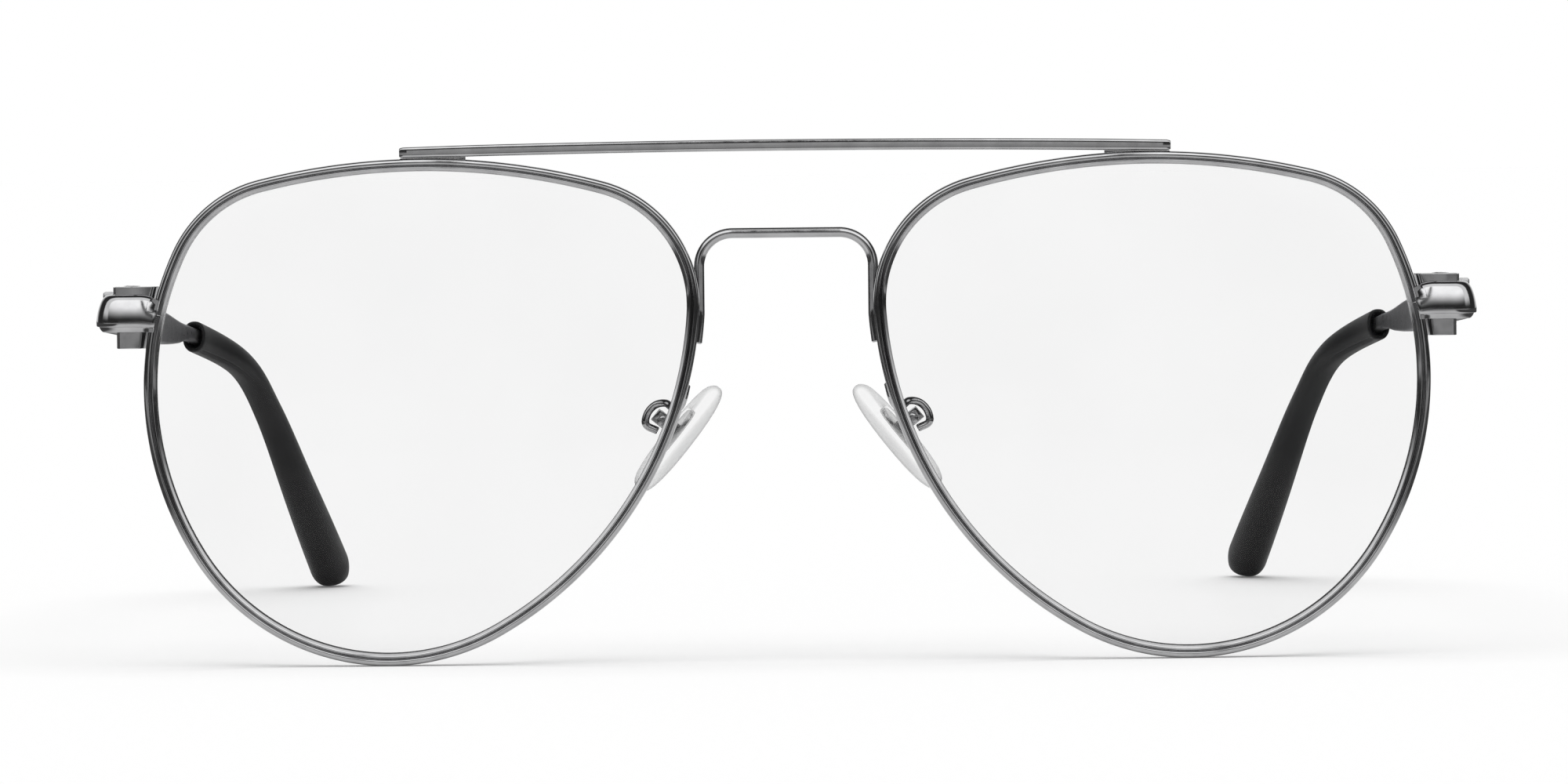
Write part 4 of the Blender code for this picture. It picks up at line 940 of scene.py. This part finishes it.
def nodes_of(name):
    """New material with its Principled shader and a helper that adds nodes."""
    made = bpy.data.materials.new(name)
    made.use_nodes = True
    tree = made.node_tree
    shader = tree.nodes["Principled BSDF"]

    def add(kind, **values):
        node = tree.nodes.new(kind)
        for key, value in values.items():
            if hasattr(node, key):
                setattr(node, key, value)
            else:
                node.inputs[key.replace("_", " ")].default_value = value
        return node

    place = add("ShaderNodeTexCoord")
    return made, tree, shader, add, place


def noise(tree, add, place, scale, detail=3.0, stretch=(1.0, 1.0, 1.0)):
    spread = add("ShaderNodeMapping")
    spread.inputs["Scale"].default_value = stretch
    tree.links.new(place.outputs["Object"], spread.inputs["Vector"])
    grain = add("ShaderNodeTexNoise", Scale=scale, Detail=detail)
    tree.links.new(spread.outputs["Vector"], grain.inputs["Vector"])
    return grain


def ramp(tree, add, source, low, high, low_at=0.35, high_at=0.65):
    """Colours between two ends, from a noise value."""
    made = add("ShaderNodeValToRGB")
    made.color_ramp.elements[0].position = low_at
    made.color_ramp.elements[1].position = high_at
    made.color_ramp.elements[0].color = (*low, 1.0)
    made.color_ramp.elements[1].color = (*high, 1.0)
    tree.links.new(source, made.inputs["Fac"])
    return made.outputs["Color"]


def span(tree, add, source, low, high, limits=(0.3, 0.7)):
    """Numbers from low to high while the source goes from one limit to the other."""
    made = add("ShaderNodeMapRange", From_Min=limits[0], From_Max=limits[1], To_Max=high)
    if isinstance(low, float):
        made.inputs["To Min"].default_value = low
    else:
        tree.links.new(low, made.inputs["To Min"])
    tree.links.new(source, made.inputs["Value"])
    return made.outputs["Result"]


def bump(tree, add, source, shader, strength, distance):
    made = add("ShaderNodeBump", Strength=strength, Distance=distance)
    tree.links.new(source, made.inputs["Height"])
    tree.links.new(made.outputs["Normal"], shader.inputs["Normal"])


def metal_look(name, dark, light, rough, stretch, strength):
    """Polished plating: cloudy tone, uneven polish and fine wiping lines."""
    made, tree, shader, add, place = nodes_of(name)
    cloud = noise(tree, add, place, METAL_CLOUD, 4.0)
    tree.links.new(ramp(tree, add, cloud.outputs["Fac"], dark, light), shader.inputs["Base Color"])
    polish = noise(tree, add, place, METAL_POLISH, 3.0)
    tree.links.new(span(tree, add, polish.outputs["Fac"], *rough), shader.inputs["Roughness"])
    lines = noise(tree, add, place, METAL_LINES, 2.0, stretch)
    bump(tree, add, lines.outputs["Fac"], shader, strength, METAL_RELIEF)
    shader.inputs["Metallic"].default_value = 1.0
    return made


def lens_look():
    """Clear plastic with a faint grey body and traces of wiping."""
    made, tree, shader, add, place = nodes_of("clear_lens_look")
    haze = noise(tree, add, place, LENS_HAZE, 2.0)
    grey = ramp(tree, add, haze.outputs["Fac"], (0.022, 0.024, 0.026), (0.032, 0.034, 0.036))
    tree.links.new(grey, shader.inputs["Base Color"])
    smear = noise(tree, add, place, LENS_SMEAR, 5.0, (1.0, 1.0, 3.0))
    tree.links.new(span(tree, add, smear.outputs["Fac"], 0.02, 0.06), shader.inputs["Roughness"])
    edge_on = add("ShaderNodeLayerWeight", Blend=0.5)
    thin = span(tree, add, haze.outputs["Fac"], *LENS_VEIL)
    veil = span(tree, add, edge_on.outputs["Facing"], thin, LENS_EDGE_VEIL, LENS_EDGE_LIMITS)
    tree.links.new(veil, shader.inputs["Alpha"])
    shader.inputs["IOR"].default_value = LENS_IOR
    return made


def silicone_look():
    """Clear soft silicone, a little cloudy, with a skin like fine orange peel and denser edges."""
    made, tree, shader, add, place = nodes_of("clear_silicone_look")
    cloud = noise(tree, add, place, SILICONE_CLOUD, 4.0)
    body = ramp(tree, add, cloud.outputs["Fac"], (0.25, 0.255, 0.26), (0.35, 0.355, 0.36))
    tree.links.new(body, shader.inputs["Base Color"])
    skin = noise(tree, add, place, SILICONE_SKIN, 3.0)
    tree.links.new(span(tree, add, skin.outputs["Fac"], 0.14, 0.26), shader.inputs["Roughness"])
    bump(tree, add, skin.outputs["Fac"], shader, 0.15, SOFT_RELIEF)
    edge_on = add("ShaderNodeLayerWeight", Blend=SILICONE_EDGE)
    veil = span(tree, add, edge_on.outputs["Facing"], *SILICONE_VEIL, SILICONE_EDGE_LIMITS)
    tree.links.new(veil, shader.inputs["Alpha"])
    shader.inputs["IOR"].default_value = SILICONE_IOR
    return made


def tip_look():
    """Charcoal moulded sleeve: matte skin with fine grain and duller patches."""
    made, tree, shader, add, place = nodes_of("matte_tip_look")
    patch = noise(tree, add, place, TIP_PATCH, 4.0)
    tone = ramp(tree, add, patch.outputs["Fac"], (0.005, 0.005, 0.0055), (0.009, 0.009, 0.0095))
    tree.links.new(tone, shader.inputs["Base Color"])
    grain = noise(tree, add, place, TIP_GRAIN, 2.0)
    tree.links.new(span(tree, add, patch.outputs["Fac"], 0.42, 0.52), shader.inputs["Roughness"])
    bump(tree, add, grain.outputs["Fac"], shader, 0.08, SOFT_RELIEF)
    shader.inputs["Specular IOR Level"].default_value = 0.16
    return made


METAL = "polished_gunmetal"
STEEL = "screw_steel"
LOOKS = {
    METAL: metal_look(
        "gunmetal_look",
        dark=(0.36, 0.36, 0.365),
        light=(0.43, 0.43, 0.435),
        rough=(0.07, 0.12),
        stretch=(1.0, 0.2, 1.0),
        strength=0.006,
    ),
    STEEL: metal_look(
        "screw_steel_look",
        dark=(0.34, 0.34, 0.345),
        light=(0.44, 0.44, 0.445),
        rough=(0.14, 0.26),
        stretch=(1.0, 1.0, 4.0),
        strength=0.25,
    ),
    "core_steel": metal_look(
        "core_steel_look",
        dark=(0.42, 0.42, 0.42),
        light=(0.52, 0.52, 0.52),
        rough=(0.22, 0.36),
        stretch=(4.0, 1.0, 1.0),
        strength=0.3,
    ),
    "clear_lens": lens_look(),
    "clear_silicone": silicone_look(),
    "matte_black_tip": tip_look(),
}
TEMPLE_LOOK = metal_look(
    "temple_look",
    dark=(0.27, 0.27, 0.273),
    light=(0.33, 0.33, 0.333),
    rough=(0.26, 0.36),
    stretch=(1.0, 0.08, 1.0),
    strength=0.25,
)
TEMPLE_TINT = (0.30, 0.30, 0.31, 1.0)
TEMPLE_LOOK.node_tree.nodes["Principled BSDF"].inputs["Specular Tint"].default_value = TEMPLE_TINT


def add_piece(node, shape, slot, body, sharp=SHARP, look=None):
    """Fine piece in place of one solid, moving with that solid's body."""
    bmesh.ops.translate(shape, verts=shape.verts, vec=SHIFT)
    made = mesh_object(f"fine_{node}", shape)
    made.data.materials.append(look or LOOKS[slot])
    made.data.shade_smooth()
    made.data.set_sharp_from_angle(angle=math.radians(sharp))
    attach(made, body)
    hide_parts(node)
    return made


add_piece("brow_bar", brow_bar_shape(), METAL, "front")
add_piece("bridge", bridge_shape(), METAL, "front")
for side, name in ((-1.0, "right"), (1.0, "left")):
    add_piece(f"{name}_rim", rim_shape(side), METAL, "front", BAND_SHARP)
    add_piece(f"{name}_lens", lens_shape(side), "clear_lens", "front", LENS_SHARP)
    add_piece(f"{name}_bar_foot", bar_foot_shape(side), METAL, "front")
    add_piece(f"{name}_endpiece", endpiece_shape(side), METAL, "front", BAND_SHARP)
    add_piece(f"{name}_closing_screw", closing_screw_shape(side), STEEL, "front")
    add_piece(f"{name}_hinge_screw", hinge_screw_shape(side), STEEL, "front")
    add_piece(f"{name}_pad_arm", pad_arm_shape(side), METAL, "front")
    add_piece(f"{name}_pad_screw", pad_screw_shape(side), STEEL, "front")
    arm = f"{name}_temple_arm"
    add_piece(f"{name}_temple", temple_shape(side), METAL, arm, BAND_SHARP, TEMPLE_LOOK)
    add_piece(f"{name}_tip", tip_shape(side), "matte_black_tip", arm, SOFT_SHARP)
    pad = add_piece(f"{name}_nose_pad", nose_pad_shape(side), "clear_silicone", f"{name}_pad", SOFT_SHARP)

# Solids that stay: blocks, hinge leaves, pad boxes and pad cores, with softened edges
slots = {entry["node"]: entry["material_slot"] for entry in frame["record"]["subparts"]}
for name, node in frame["nodes"].items():
    node.data.materials.clear()
    node.data.materials.append(LOOKS[slots[name]])
    if node.hide_render:
        continue
    node.data.shade_smooth()
    weld = node.modifiers.new("weld", "WELD")
    weld.merge_threshold = WELD_DISTANCE
    edge = node.modifiers.new("edge", "BEVEL")
    edge.width = EDGE_BEVEL
    edge.segments = 3
    edge.limit_method = "ANGLE"
    edge.angle_limit = math.radians(SOLID_SHARP)
    even = node.modifiers.new("even", "WEIGHTED_NORMAL")
    even.keep_sharp = True


def math_node(tree, operation, a, b=None):
    """One sum on links or plain numbers."""
    node = tree.nodes.new("ShaderNodeMath")
    node.operation = operation
    for socket, value in zip(node.inputs, (a, b)):
        if isinstance(value, float):
            socket.default_value = value
        elif value is not None:
            tree.links.new(value, socket)
    return node.outputs[0]


def product(tree, *values):
    """Links and plain numbers, multiplied one after another."""
    result = values[0]
    for value in values[1:]:
        result = math_node(tree, "MULTIPLY", result, value)
    return result


def soft_step(tree, value, limits, levels=(0.0, 1.0)):
    """Smooth change between two levels while the value goes from one limit to the other."""
    node = tree.nodes.new("ShaderNodeMapRange")
    node.interpolation_type = "SMOOTHSTEP"
    for name, number in zip(("From Min", "From Max", "To Min", "To Max"), (*limits, *levels)):
        node.inputs[name].default_value = number
    tree.links.new(value, node.inputs["Value"])
    return node.outputs["Result"]


# Floor: a white sheet. Painted reflection: for glossy rays only, the floor beside and in front of the frame is not
# the sheet but a glow at a set, darker level, which metal mirrors; seen directly the floor stays white.
# Pairs are the limits that a change lies between
FLOOR_HALF = 60.0
SHEET_TONES = ((0.905, 0.905, 0.905), (0.92, 0.92, 0.92))
SHEET_GLOW = 0.10
SHEET_FRONT = (-0.20, -0.35)
SHEET_SIDE = (0.072, 0.107)
# Painted reflection on the floor, seen by glossy rays only: where its glow grows, its glow levels, how far in
# front, its least glow
PAINTED_REFLECTION_REACH = (0.30, 0.60)
PAINTED_REFLECTION_LEVELS = (0.02, 0.50)
PAINTED_REFLECTION_FRONT = (-0.10, -0.35)
PAINTED_REFLECTION_LEAST = 0.10
corners = [(x * FLOOR_HALF, y * FLOOR_HALF, 0.0) for x, y in ((-1, -1), (1, -1), (1, 1), (-1, 1))]
mesh = bpy.data.meshes.new("floor")
mesh.from_pydata(corners, [], [(0, 1, 2, 3)])
floor = bpy.data.objects.new("floor", mesh)
bpy.context.scene.collection.objects.link(floor)
floor_look, tree, shader, add, place = nodes_of("white_floor")
link = tree.links.new
tree.nodes.remove(shader)
paper = noise(tree, add, place, PAPER_GRAIN, 3.0)
matte = add("ShaderNodeBsdfDiffuse")
link(ramp(tree, add, paper.outputs["Fac"], *SHEET_TONES), matte.inputs["Color"])
rays = add("ShaderNodeLightPath")
glossy = rays.outputs["Is Glossy Ray"]
seen = math_node(tree, "MAXIMUM", rays.outputs["Is Camera Ray"], rays.outputs["Is Transmission Ray"])
seen = math_node(tree, "MAXIMUM", seen, glossy)
glow = add("ShaderNodeEmission")
link(product(tree, seen, SHEET_GLOW), glow.inputs["Strength"])
white = add("ShaderNodeAddShader")
link(matte.outputs[0], white.inputs[0])
link(glow.outputs[0], white.inputs[1])
where = add("ShaderNodeSeparateXYZ")
link(place.outputs["Object"], where.inputs[0])
# Painted reflection: glossy rays that meet the floor beside or in front of the frame see a set glow instead of the
# white sheet
beside = soft_step(tree, math_node(tree, "ABSOLUTE", where.outputs["X"]), SHEET_SIDE)
before = soft_step(tree, where.outputs["Y"], SHEET_FRONT)
painted_reflection_mask = product(tree, math_node(tree, "MAXIMUM", before, beside), glossy)
reach = add("ShaderNodeVectorMath", operation="LENGTH")
link(place.outputs["Object"], reach.inputs[0])
# Glow of the painted reflection: at least the least level, rising to half white far off in front
tone = soft_step(tree, reach.outputs["Value"], PAINTED_REFLECTION_REACH, PAINTED_REFLECTION_LEVELS)
tone = product(tree, tone, soft_step(tree, where.outputs["Y"], PAINTED_REFLECTION_FRONT))
painted_reflection = add("ShaderNodeEmission")
link(math_node(tree, "MAXIMUM", tone, PAINTED_REFLECTION_LEAST), painted_reflection.inputs["Strength"])
sheet = add("ShaderNodeMixShader")
link(painted_reflection_mask, sheet.inputs["Fac"])
link(white.outputs[0], sheet.inputs[1])
link(painted_reflection.outputs[0], sheet.inputs[2])
link(sheet.outputs[0], tree.nodes["Material Output"].inputs["Surface"])
floor.data.materials.append(floor_look)

# Soft light from overhead, tilted a little to the front
SUN_ENERGY = 2.20
SUN_SPREAD = 65.0
SUN_TILT = 12.0
lamp = bpy.data.lights.new("top_light", "SUN")
lamp.energy = SUN_ENERGY
lamp.angle = math.radians(SUN_SPREAD)
light = bpy.data.objects.new("top_light", lamp)
light.rotation_euler = (math.radians(SUN_TILT), 0.0, 0.0)
light.visible_glossy = False
bpy.context.scene.collection.objects.link(light)

# Surroundings: white where seen or shone through, dim and even as a light. What metal mirrors is a dark
# room with a white wall behind the frame and three lights in front of it, placed by their directions
AMBIENT_LEVEL = 0.30
DARK_LEVEL = 0.045
WALL_LIMITS = (0.55, 0.90)
SOFTBOX_LEVEL = 2.1
SOFTBOX_FRONT = (-0.30, -0.50)
SOFTBOX_SIDE = (0.014, 0.034)
SOFTBOX_RISE = (0.17, 0.62)
SOFTBOX_RISE_POWER = 1.1
RING_LEVEL = 1.3
RING_FRONT = (-0.62, -0.45)
RING_BACK = (0.02, -0.08)
RING_RISE = (0.10, 0.35)
STRIP_LEVEL = 0.60
STRIP_SIDE = (0.08, 0.06)
STRIP_RISE = (0.14, 0.06)
STRIP_FRONT = (0.0, -0.3)
world = bpy.data.worlds.new("studio")
bpy.context.scene.world = world
world.use_nodes = True
tree = world.node_tree
link = tree.links.new
back = tree.nodes["Background"]
back.inputs["Color"].default_value = (1.0, 1.0, 1.0, 1.0)
way = tree.nodes.new("ShaderNodeTexCoord")
parts = tree.nodes.new("ShaderNodeSeparateXYZ")
link(way.outputs["Generated"], parts.inputs[0])
aside = math_node(tree, "ABSOLUTE", parts.outputs["X"])
ahead = parts.outputs["Y"]
rise = parts.outputs["Z"]
wall = soft_step(tree, ahead, WALL_LIMITS)

# Softbox over each temple, brighter the higher it is
softbox = product(
    tree,
    soft_step(tree, ahead, SOFTBOX_FRONT),
    soft_step(tree, aside, SOFTBOX_SIDE),
    math_node(tree, "POWER", soft_step(tree, rise, SOFTBOX_RISE), SOFTBOX_RISE_POWER),
    SOFTBOX_LEVEL,
)

# Ring of light round the front, which the lips of the rims mirror
ring = product(
    tree,
    soft_step(tree, ahead, RING_FRONT),
    soft_step(tree, ahead, RING_BACK),
    soft_step(tree, rise, RING_RISE),
    RING_LEVEL,
)

# Grey strip ahead, which the level face of the brow bar mirrors
strip = product(
    tree,
    soft_step(tree, aside, STRIP_SIDE),
    soft_step(tree, rise, STRIP_RISE),
    soft_step(tree, ahead, STRIP_FRONT),
    STRIP_LEVEL,
)
room = wall
for lit in (softbox, ring, strip):
    room = math_node(tree, "MAXIMUM", room, lit)
room = math_node(tree, "ADD", room, DARK_LEVEL)
rays = tree.nodes.new("ShaderNodeLightPath")
glossy = rays.outputs["Is Glossy Ray"]
seen = math_node(tree, "MAXIMUM", rays.outputs["Is Camera Ray"], rays.outputs["Is Transmission Ray"])
other = math_node(tree, "SUBTRACT", 1.0, math_node(tree, "MAXIMUM", seen, glossy))
level = math_node(tree, "MAXIMUM", seen, product(tree, glossy, room))
level = math_node(tree, "ADD", level, product(tree, other, AMBIENT_LEVEL))
link(level, back.inputs["Strength"])

# Camera at the photograph's place
CAMERA_PLACE = (-0.00034, -0.7733, 0.0499)
CAMERA_PITCH = 1.83
CAMERA_ROLL = -0.60
FOCAL_PIXELS = 8883.0
IMAGE_WIDTH = 2000.0
SENSOR_WIDTH = 36.0
camera_data = bpy.data.cameras.new("photo_camera")
camera_data.sensor_fit = "HORIZONTAL"
camera_data.sensor_width = SENSOR_WIDTH
camera_data.lens = camera_data.sensor_width * FOCAL_PIXELS / IMAGE_WIDTH
camera_data.clip_start = 0.01
camera = bpy.data.objects.new("photo_camera", camera_data)
tilt = Matrix.Rotation(math.radians(90.0 - CAMERA_PITCH), 4, "X")
roll = Matrix.Rotation(math.radians(CAMERA_ROLL), 4, "Z")
camera.matrix_world = Matrix.Translation(CAMERA_PLACE) @ tilt @ roll
bpy.context.scene.collection.objects.link(camera)
bpy.context.scene.camera = camera
bpy.context.scene.view_settings.view_transform = "Standard"
